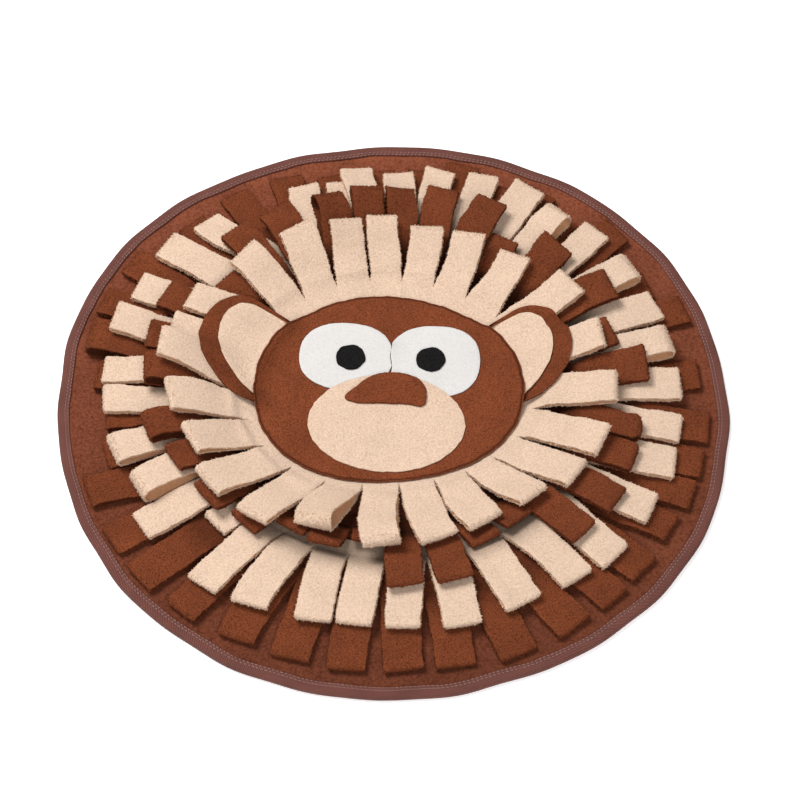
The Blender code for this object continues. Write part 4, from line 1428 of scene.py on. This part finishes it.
@dataclass
class BoundBase:
    """The round base cloth and the tape folded over its edge."""

    steps: int = 360
    inset: float = 1.4 * MM  # from the tape's outside to the cloth's cut edge
    lift: float = 1.2 * MM  # the cloth's edge stands on the tape's under limb
    lift_start: float = 14 * MM
    ripple: float = 0.12 * MM
    tape_width: float = 8.8 * MM
    tape_thick: float = 0.9 * MM
    gap: float = 0.3 * MM
    stitch_insets: tuple = (("inner", 8.0 * MM), ("outer", 5.9 * MM))
    stitch_pitch: float = 3.1 * MM
    stitch_size: tuple = (1.25 * MM, 0.38 * MM)  # half its length and half its thickness

    def __post_init__(self) -> None:
        """Work out the outline."""
        self.angles = turns(self.steps)
        self.rim = mat_radius(self.angles)

    def cloth(self, finish: Material) -> None:
        """Build the base cloth.

        Args:
            finish: Its material.
        """
        edge = self.rim - self.inset
        shares = np.concatenate((np.linspace(0.05, 0.94, 26), (0.96, 0.98, 1.0)))[:, None]
        radius = edge * shares
        rise = self.lift * smooth((radius - edge + self.lift_start) / self.lift_start)
        ripple = self.ripple * np.sin(7 * self.angles + 40 * shares) * np.sin(math.pi * shares)
        ground = direction(self.angles) * radius[..., None]
        shell = Shell()
        shell.disc(
            raised(ground, rise), raised(ground, rise + BASE_THICK + ripple - self.ripple),
            ((0.0, 0.0, 0.0), (0.0, 0.0, BASE_THICK - self.ripple)),
        )
        obj = shell.build("base_cloth_felt", finish)
        size = 2 * (MAT_RADIUS - self.inset)
        area = math.pi * size**2 / 4
        declare(obj, Slot.BASE, "base_cloth", (size, size), Held.LAID, ["binding_tape_woven"], area=area)

    def tape(self, finish: Material, thread: Material) -> None:
        """Build the binding tape and its two rows of stitches.

        Args:
            finish: The tape's material.
            thread: The stitches' material.
        """
        wide, thick = self.tape_width, self.tape_thick
        top = BASE_THICK + self.lift + self.gap
        roof = top + thick
        slope = self.lift * (wide - self.inset) / self.lift_start
        section = np.array((  # distance in from the rim and height, round the tape from its under limb's end
            (wide, 0.1 * MM), (wide * 0.5, 0.0), (1.6 * MM, 0.0), (0.5 * MM, 0.3 * MM), (0.0, 1.4 * MM),
            (0.0, roof - 1.6 * MM), (0.35 * MM, roof - 0.5 * MM), (1.5 * MM, roof),
            (wide * 0.45, roof - 0.45 * slope), (wide * 0.8, roof - 0.8 * slope - 0.1 * MM),
            (wide - 0.5 * MM, roof - slope), (wide, roof - slope - 0.35 * MM),
            (wide, top - slope), (thick + 0.3 * MM, top - 0.1 * MM), (thick, self.lift),
            (wide, self.lift - slope - self.gap),
        ))
        inset, height = section.T
        rng = np.random.default_rng(11)
        along, around = self.angles * MAT_RADIUS, 2 * math.pi * MAT_RADIUS
        sway = 0.35 * MM * wobble(rng, along, around / 31, 4)
        radius = self.rim[:, None] - inset[None, :]
        radius += np.where(inset[None, :] > 0.7 * wide, sway[:, None], 0)
        tall = np.broadcast_to(height, radius.shape).copy()
        upper = (height > top - slope - 0.01 * MM) & (inset > 0.5 * MM)
        tall[:, upper] += (0.12 * MM * wobble(rng, along, around / 57, 4))[:, None] + 0.1 * MM
        shell = Shell()
        numbers = shell.put(raised(direction(self.angles)[:, None, :] * radius[..., None], tall))
        shell.grid(np.concatenate((numbers, numbers[:1])), 0, True)
        obj = shell.build("binding_tape_woven", finish, 70)
        self.unroll(obj, section)
        seams = []
        for label, inset in self.stitch_insets:
            path = direction(self.angles) * (self.rim - inset + 0.5 * sway)[:, None]
            line = raised(path, roof - slope * inset / wide + 0.12 * MM)
            count = int(2 * math.pi * (MAT_RADIUS - inset) / self.stitch_pitch)
            seams.append(stitch_ring(f"binding_stitches_{label}", line, count, self.stitch_size, thread))
        flat = (2 * wide + roof, around)
        declare(obj, Slot.TAPE, "binding_tape", flat, Held.FOLDED, [], with_pieces=seams)

    def unroll(self, obj: Piece, section: Array) -> None:
        """Give the tape a UV map in metres: along the rim, and round its section.

        Args:
            obj: The tape.
            section: Its section, as distances in from the rim and heights.
        """
        across = lengths(section)
        layer = obj.data.uv_layers.new(name="UVMap")
        pitch, count = 2 * math.pi * MAT_RADIUS / self.steps, len(section)
        for face in obj.data.polygons:
            corners = [divmod(obj.data.loops[i].vertex_index, count) for i in face.loop_indices]
            wraps = max(row for row, _ in corners) == self.steps - 1
            closes = max(place for _, place in corners) == count - 1
            for loop, (row, place) in zip(face.loop_indices, corners):
                full = row + (self.steps if row == 0 and wraps else 0)
                v = across[-1] + self.tape_thick if place == 0 and closes else across[place]
                layer.data[loop].uv = (full * pitch, v)


# ---------------------------------------------------------------------------------------------
# Face and ears
# ---------------------------------------------------------------------------------------------


@dataclass(frozen=True)
class Patch:
    """A cut-out sewn on the face."""

    name: str
    slot: Slot
    middle: tuple  # mm
    outline: object  # function from angles to points in metres
    thick: float
    ragged: float  # mm


@dataclass
class Face:
    """The oval face cloth and the pieces sewn on it."""

    turn: float = -3.0
    steps: int = 180
    patch_steps: int = 120
    swell: float = 1.0 * MM  # height of its slow waves
    pucker: float = 0.35 * MM  # height of the gathers at its rim
    furrow: float = 0.35 * MM  # how deep its seam lies

    def on_face(self, x0: float, y0: float, x: Array, y: Array) -> Array:
        """Points at x, y mm from a feature's middle, turned with the face."""
        c, s = math.cos(math.radians(self.turn)), math.sin(math.radians(self.turn))
        return np.stack((x0 + x * c - y * s, y0 + x * s + y * c), -1) * MM

    def oval(self, place: tuple, square: float = 1.0, waves_in: tuple = ()) -> object:
        """Outline of an oval.

        Args:
            place: Middle x and y, half width and half height in mm.
            square: Under 1 makes its corners fuller.
            waves_in: Small waves of the outline: how many round, height in mm, phase in degrees.

        Returns:
            A function from angles to points.
        """
        x0, y0, wide, tall = place

        def edge(angle: Array) -> Array:
            """Find points of the outline.

            Args:
                angle: Angles in radians.

            Returns:
                The points (x, y).
            """
            c, s = np.cos(angle), np.sin(angle)
            swell = waves(angle, waves_in) / MM if waves_in else 0.0
            x = (wide + swell) * np.sign(c) * np.abs(c) ** square
            y = (tall + swell) * np.sign(s) * np.abs(s) ** square
            return self.on_face(x0, y0, x, y)

        return edge

    def traced(self, place: tuple, corners: tuple) -> object:
        """Outline of a smooth closed line.

        Args:
            place: Middle x and y in mm.
            corners: Points that the line passes through, in mm from the middle.

        Returns:
            A function from angles to points.
        """
        points = np.array(corners, float)

        def edge(angle: Array) -> Array:
            """Find points of the line, which goes once round as the angle does.

            Args:
                angle: Angles in radians.

            Returns:
                The points (x, y).
            """
            place_on = np.asarray(angle) / (2 * math.pi) * len(points)
            first = np.floor(place_on).astype(int)
            t = (place_on - first)[:, None]
            p0, p1, p2, p3 = (points[(first + k) % len(points)] for k in (-1, 0, 1, 2))
            line = p1 + 0.5 * t * (
                p2 - p0 + t * (2 * p0 - 5 * p1 + 4 * p2 - p3 + t * (3 * (p1 - p2) + p3 - p0))
            )
            return self.on_face(*place, line[:, 0], line[:, 1])

        return edge

    def cloth(self, finish: Material, below: HeightMap, pile: HeightMap) -> None:
        """Build the face cloth, which laps over the ears' sewn edges.

        Args:
            finish: Its material.
            below: Height map of all that lies under it.
            pile: Height map of the face, to which it is added.
        """
        angles = turns(self.steps)
        rng = np.random.default_rng(5)
        along, around = angles * FACE_RADIUS, 2 * math.pi * FACE_RADIUS
        pucker = wobble(rng, along, around / 19, 5)
        edge = face_radius(angles) + 0.45 * MM * wobble(rng, along, around / 23, 5)
        near_rim = (0.945, 0.965, 0.977, 0.985, 0.993, 1.0)
        shares = np.concatenate((np.linspace(0.04, 0.92, 30), near_rim))[:, None]
        ground = FACE_CENTRE + direction(angles) * (edge * shares)[..., None]
        x, y = ground[..., 0], ground[..., 1]
        waves_in = np.sin(x * 70 + 1) * np.cos(y * 60) + 0.45 * np.sin(x * 95 - y * 120 + 2)
        swell = self.swell * waves_in * (1 - shares**6)
        ripple = self.pucker * pucker * smooth((shares - 0.8) / 0.15)
        laid = FACE_EDGE_Z - FACE_SAG * (1 - shares**2) + swell + ripple + self.pucker
        heights = draped(np.maximum(laid, below.near(ground) + 0.3 * MM), 5, True)
        heights[0] = heights[0].mean()
        roll = 0.75 * MM * smooth((shares - 0.955) / 0.045) ** 2
        # The seam's furrow is pressed in, and also painted with shade through the attribute "seam".
        furrow = np.exp(-(((shares - 0.985) / 0.008) ** 2))
        low, high = raised(ground, heights), raised(ground, heights + FLEECE - roll - self.furrow * furrow)
        shell = Shell()
        shell.disc(low, high, [(*FACE_CENTRE, side[0, :, 2].mean()) for side in (low, high)], furrow)
        pile.add_grid(high, True)
        hub = np.tile([*FACE_CENTRE, high[0, 0, 2]], (self.steps, 1))
        pile.add_grid(np.stack((hub, high[0])), True)
        obj = shell.build("face_fleece", finish, 60)
        wide = 2 * (FACE_RADIUS + 8 * MM)
        area = float((0.5 * edge**2).mean() * 2 * math.pi)
        declare(obj, Slot.BROWN, "face", (wide, wide), Held.LAID, ["fringe_inner_cream_fleece"], area=area)

    def patch(self, cut_out: Patch, finish: Material, pile: HeightMap, under: list) -> None:
        """Build one cut-out and lay it on the face.

        Args:
            cut_out: What it is.
            finish: Its material.
            pile: Height map of the face, to which it is added.
            under: Names of what it lies on.
        """
        angles = turns(self.patch_steps)
        edge = cut_out.outline(angles)
        middle = np.array(cut_out.middle) * MM
        rng = np.random.default_rng(sum(map(ord, cut_out.name)))
        outward = edge - middle
        size = np.hypot(*outward.T)
        uneven = wobble(rng, angles * size.mean(), 14 * MM, 5) + 0.5 * rng.uniform(-1, 1, self.patch_steps)
        edge = edge + outward / size[:, None] * (cut_out.ragged * MM * uneven)[:, None]
        shares = np.concatenate((np.linspace(0, 0.93, 16), (0.965, 0.985, 1.0)))
        ground = middle + shares[:, None, None] * (edge - middle)
        floor = pile.near(ground) + 0.12 * MM
        height = np.maximum(draped(floor, 12, True), floor)
        height[0] = height[0].mean()
        low = raised(ground, height)
        high = low + np.array((0, 0, cut_out.thick))
        high[..., 2] -= (SHOULDER * smooth((shares - 0.96) / 0.04) ** 2)[:, None]
        shell = Shell()
        shell.disc(low[1:], high[1:], (low[0, 0], high[0, 0]))
        pile.add_grid(high, True)
        obj = shell.build(cut_out.name + "_cut_out", finish, 60)
        flat, area = cut_size(edge)
        declare(obj, cut_out.slot, cut_out.name, flat, Held.LAID, under, area=area)


@dataclass(frozen=True)
class Leaf:
    """What sets an ear's two leaves apart."""

    ending: str  # of its node's name
    slot: Slot
    thick: float
    inset: float  # how far its edge lies inside the outer leaf's, mm
    tuck: float  # how far it reaches in under the face, mm
    clear: float  # room under it
    depths: tuple  # its depth at the ear's SHARES, as shares of its whole depth


LEAVES = (
    Leaf(
        "_ear", Slot.BROWN, FLEECE, 0, 2.4, 0.5 * MM,
        (0, 0.38, 0.66, 0.84, 0.96, 1, 0.96, 0.80, 0.54, 0.32, 0),
    ),
    Leaf(
        "_inner_ear", Slot.CREAM, FELT, 12, 1.6, 0.2 * MM,
        (0, 0.42, 0.72, 0.90, 0.98, 0.97, 0.86, 0.66, 0.38, 0.19, 0),
    ),
)


@dataclass
class Ear:
    """A brown leaf sewn in at the face's edge with a smaller cream leaf on it."""

    name: str
    top: float  # angle at which its steep upper side starts, degrees
    foot: float  # angle at which its long lower side ends
    depth: float  # how far it reaches out from the face, mm
    seed: int

    ALONG = 64
    ROWS = 16
    SHARES = (0, 0.01, 0.04, 0.1, 0.2, 0.35, 0.5, 0.65, 0.8, 0.9, 1)  # of the way down its seam
    BLUR = 12  # steps of the outline's 400 over which its corners are rounded

    def build(self, leaf: Leaf, finish: Material, pile: HeightMap, under: str) -> str:
        """Build one leaf and lay it on the pile.

        Args:
            leaf: Which one.
            finish: Its material.
            pile: Height map, to which it is added.
            under: Name of what it lies on.

        Returns:
            The piece's name.
        """
        turn = self.foot - self.top
        margin = math.copysign(math.degrees(leaf.inset * MM / FACE_RADIUS), turn)
        rng = np.random.default_rng(self.seed)
        share = np.linspace(0, 1, self.ALONG + 1) ** 1.6
        angle = np.radians(self.top + 0.35 * margin + share * (turn - 0.85 * margin))
        near = face_radius(angle) - leaf.tuck * MM
        fine = np.linspace(0, 1, 401)
        curve = np.interp(fine, np.array(self.SHARES) ** 0.5, leaf.depths)
        curve = np.pad(curve, self.BLUR, mode="reflect", reflect_type="odd")
        curve = np.convolve(curve, np.hanning(2 * self.BLUR + 3)[1:-1] / (self.BLUR + 1), "valid")
        rise = np.interp(share**0.5, fine, curve) + 0.006 * wobble(rng, share * 0.1, 0.02, 4)
        far = near + max(0.0, self.depth - leaf.inset) * MM * np.maximum(rise, 0.02)
        k = np.linspace(0, 1, self.ROWS + 1)
        radius = near[None, :] + (far - near)[None, :] * k[:, None]
        ground = FACE_CENTRE + direction(angle)[None] * radius[..., None]
        floor = pile.near(ground) + leaf.clear
        low = raised(ground, np.maximum(draped(floor, 40, False), floor))
        high = low + np.array((0, 0, leaf.thick))
        high[-1, :, 2] -= SHOULDER
        high[:, (0, -1), 2] -= SHOULDER
        shell = Shell()
        lows, highs = shell.put(low), shell.put(high)
        shell.grid(lows)
        shell.grid(highs)
        for line in ((slice(None), 0), (slice(None), -1), (0, slice(None)), (-1, slice(None))):
            shell.grid(np.stack((lows[line], highs[line])), 1.0)
        pile.add_grid(high)
        label = self.name + leaf.ending
        obj = shell.build(label + "_leaf", finish, 60)
        flat, area = cut_size(np.concatenate((ground[0], ground[-1][::-1])))
        declare(obj, leaf.slot, label, flat, Held.LAID, [under], area=area)
        return obj.name


# ---------------------------------------------------------------------------------------------
# Studio
# ---------------------------------------------------------------------------------------------


@dataclass
class Studio:
    """Pale floor, soft lights and the camera."""

    elevation: float = 55.3
    distance: float = 1.8
    lens: float = 108.46
    target: tuple = (0.005445, 0.004069, 0.0)

    def camera(self) -> None:
        """Make the camera at the photograph's angle."""
        tilt = math.radians(self.elevation)
        data = bpy.data.cameras.new("camera")
        data.lens, data.sensor_width = self.lens, 36
        camera = add_object("camera", data)
        x, y, z = self.target
        camera.location = (x, y - self.distance * math.cos(tilt), z + self.distance * math.sin(tilt))
        camera.rotation_euler = (math.pi / 2 - tilt, 0, 0)
        bpy.context.scene.camera = camera

    def area_light(self, name: str, place: tuple, size: float, power: float) -> None:
        """Make a soft light that faces the mat.

        Args:
            name: Its name.
            place: Where it stands, in metres.
            size: Its side.
            power: Its power in watts.
        """
        data = bpy.data.lights.new(name, "AREA")
        data.shape, data.size, data.energy = "SQUARE", size, power
        light = add_object(name, data)
        light.location = place
        x, y, z = place
        light.rotation_euler = (math.atan2(math.hypot(x, y), z), 0, math.atan2(y, x) + math.pi / 2)

    def build(self) -> None:
        """Make the floor, the lights and the surroundings."""
        mesh = bpy.data.meshes.new("floor")
        shape = bmesh.new()
        bmesh.ops.create_grid(shape, x_segments=8, y_segments=8, size=4.0)
        bmesh.ops.translate(shape, verts=shape.verts[:], vec=(0, 0, -0.0002))
        shape.to_mesh(mesh)
        shape.free()
        paper, tree, shader, place = new_material("studio paper")
        grain = noise(tree, place, 3.0, 2.0, 0.5)
        pale = mixed(tree, grain, colour(0.93, 0.93, 0.93), colour(0.95, 0.95, 0.95))
        plug(tree, shader.inputs["Base Color"], pale)
        shader.inputs["Roughness"].default_value = 0.9
        shader.inputs["Specular IOR Level"].default_value = 0.1
        shader.inputs["Emission Color"].default_value = colour(1.0, 1.0, 1.0)
        shader.inputs["Emission Strength"].default_value = 0.35
        mesh.materials.append(paper)
        add_object("floor", mesh)
        world = bpy.data.worlds.new("surroundings")
        world.use_nodes = True
        world.node_tree.nodes["Background"].inputs[0].default_value = colour(1.0, 1.0, 1.0)
        world.node_tree.nodes["Background"].inputs[1].default_value = 0.22
        bpy.context.scene.world = world
        self.area_light("key", (-0.8, 0.5, 1.8), 0.9, 45)
        self.area_light("front fill", (0.25, -1.4, 1.3), 1.2, 20)
        bpy.context.scene.view_settings.view_transform = "Standard"
        self.camera()


FINISHES = {
    Slot.BROWN: NappedFinish(
        "brown fleece", colour(0.050, 0.0118, 0.0044), colour(0.196, 0.0515, 0.0196),
        # The next colour is painted shade between the layers of a fold.
        colour(0.045, 0.011, 0.005), lump=1.2 * MM, tone=0.16,
    ),
    Slot.CREAM: NappedFinish(
        # Its last colour is painted warm light, scattered through the layers of a fold.
        "cream fleece", colour(0.46, 0.325, 0.232), colour(0.69, 0.51, 0.385), colour(0.80, 0.34, 0.10),
        tone=0.05,
    ),
    Slot.BASE: NappedFinish(
        "base felt", colour(0.080, 0.0195, 0.0090), colour(0.176, 0.0515, 0.0255), colour(0.10, 0.03, 0.015),
        # brushed paints light: the felt lighter towards the back and darker towards the front.
        lump=2.4 * MM, fibre=0.5 * MM, bump=0.25 * MM, tone=0.16, patch=35 * MM, brushed=0.3,
    ),
    Slot.WHITE: NappedFinish(
        "white felt", colour(0.525, 0.51, 0.495), colour(0.605, 0.585, 0.565), colour(1.0, 0.98, 0.95),
        lump=2.0 * MM, fibre=0.5 * MM, bump=0.2 * MM, tone=0.02,
    ),
    Slot.BLACK: NappedFinish(
        "black felt", colour(0.003, 0.003, 0.003), colour(0.011, 0.010, 0.010), colour(0.02, 0.02, 0.02),
        lump=1.8 * MM, fibre=0.5 * MM, bump=0.2 * MM, tone=0.1, sheen=0.0,
    ),
    Slot.TAPE: TapeFinish(),
}

FACE_FLEECE_PAINTED_LIGHTER = NappedFinish(  # the same fleece painted lighter: painted light on the face and nose, which face up to the lamps
    "brown fleece of the face", colour(0.058, 0.0137, 0.0051), colour(0.226, 0.0595, 0.0227),
    colour(0.045, 0.011, 0.005), lump=1.2 * MM, tone=0.16,
)

# Each ring's roots get painted shade, the more the deeper the ring lies; the inner ring, which nothing
# covers, gets none.
RINGS = (  # from the outside in
    FringeRing(
        "fringe_outer_brown", Slot.BROWN, OUTER, centre=(0, 0), seam=160, slit=12, slit_wave=0, root=3.3,
        seam_root=3.3, rise=0.3, cloth=62, spring=0.9, hump=0.3, lift=0.6, painted_root_shade=0.5,
        rests_on=("base_cloth_felt",), seed=21,
    ),
    FringeRing(
        "fringe_second_cream", Slot.CREAM, SECOND, centre=(0, 6), seam=134, slit=12, slit_wave=0, root=3.3,
        seam_root=3.3, rise=0.7, cloth=64, spring=1.2, hump=0.9, lift=1.2, painted_root_shade=0.75,
        rests_on=("base_cloth_felt", "fringe_outer_brown_fleece"), seed=22,
    ),
    FringeRing(
        "fringe_third_brown", Slot.BROWN, THIRD, centre=(-0.5, 6), seam=113, slit=11, slit_wave=0, root=3.3,
        seam_root=3.3, rise=0.7, cloth=64, spring=1.3, hump=0.9, lift=1.8, painted_root_shade=0.9,
        rests_on=("base_cloth_felt", "fringe_second_cream_fleece"), seed=23,
    ),
    FringeRing(
        "fringe_inner_cream", Slot.CREAM, INNER, centre=(-1.7, 7), seam=0, slit=14.5, slit_wave=7, root=7.6,
        seam_root=3.6, rise=0.35, cloth=62, spring=1.8, hump=2.0, lift=3.0, painted_root_shade=0.0,
        rests_on=("base_cloth_felt", "fringe_third_brown_fleece"), seed=24,
    ),
)
EARS = (Ear("left", 143, 190, 53, 31), Ear("right", 36, -10, 47, 32))


def build_face(finishes: dict, brown: Material, below: HeightMap) -> None:
    """Build the face and the pieces on it.

    Args:
        finishes: Materials by slot.
        brown: The fleece of the face and the nose, a copy of the strips' fleece painted lighter as painted
            light.
        below: Height map of all that lies under it.
    """
    face, pile = Face(), HeightMap()
    face.cloth(brown, below, pile)
    for name, place, side in EYES:
        oval = face.oval(place, EYE_FULLNESS)
        limit = (-1.5 - 0.2 * side) * MM

        def edge(angle: Array, oval=oval, side=side, limit=limit) -> Array:
            """The oval, cut off where it meets the other eye.

            Args:
                angle: Angles in radians.
                oval: The oval's outline.
                side: 1 for the left eye and -1 for the right one.
                limit: Where it is cut off, x in metres.

            Returns:
                The points (x, y).
            """
            points = oval(angle)
            line = limit + 0.5 * MM * np.sin(points[:, 1] / (3.1 * MM))
            points[:, 0] = side * np.minimum(side * points[:, 0], side * line)
            return points

        white = Patch(name, Slot.WHITE, place[:2], edge, FELT, 0.12)
        face.patch(white, finishes[Slot.WHITE], pile, ["face_fleece"])
    for name, place, on in PUPILS:
        outline = face.oval((*place, PUPIL_RADIUS, PUPIL_RADIUS), 1.0, PUPIL_WAVES)
        black = Patch(name, Slot.BLACK, place, outline, FELT, 0.12)
        face.patch(black, finishes[Slot.BLACK], pile, [on + "_cut_out"])
    muzzle = Patch("muzzle", Slot.CREAM, MUZZLE[:2], face.oval(MUZZLE), FELT, 0.3)
    face.patch(muzzle, finishes[Slot.CREAM], pile, ["face_fleece", "left_eye_cut_out", "right_eye_cut_out"])
    nose = Patch("nose", Slot.BROWN, (-4, 1.5), face.traced((-3.9, 1.7), NOSE), FLEECE, 0.25)
    face.patch(nose, brown, pile, ["muzzle_cut_out"])


def main() -> None:
    """Build the mat from the bottom up."""
    logging.basicConfig(level=logging.INFO, format="%(name)s: %(message)s")
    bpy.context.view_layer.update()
    finishes = {slot: finish.build() for slot, finish in FINISHES.items()}
    thread = ThreadFinish("pink thread", colour(0.34, 0.195, 0.165)).build()
    base = BoundBase()
    base.tape(finishes[Slot.TAPE], thread)
    base.cloth(finishes[Slot.BASE])
    pile = HeightMap()
    pile.add_disc(MAT_RADIUS, BASE_THICK)
    for ring in RINGS:
        ring.build(pile, finishes[ring.slot])
    for ear in EARS:
        under = "fringe_inner_cream_fleece"
        for leaf in LEAVES:
            under = ear.build(leaf, finishes[leaf.slot], pile, under)
    build_face(finishes, FACE_FLEECE_PAINTED_LIGHTER.build(), pile)
    Studio().build()


if __name__ == "__main__":
    main()
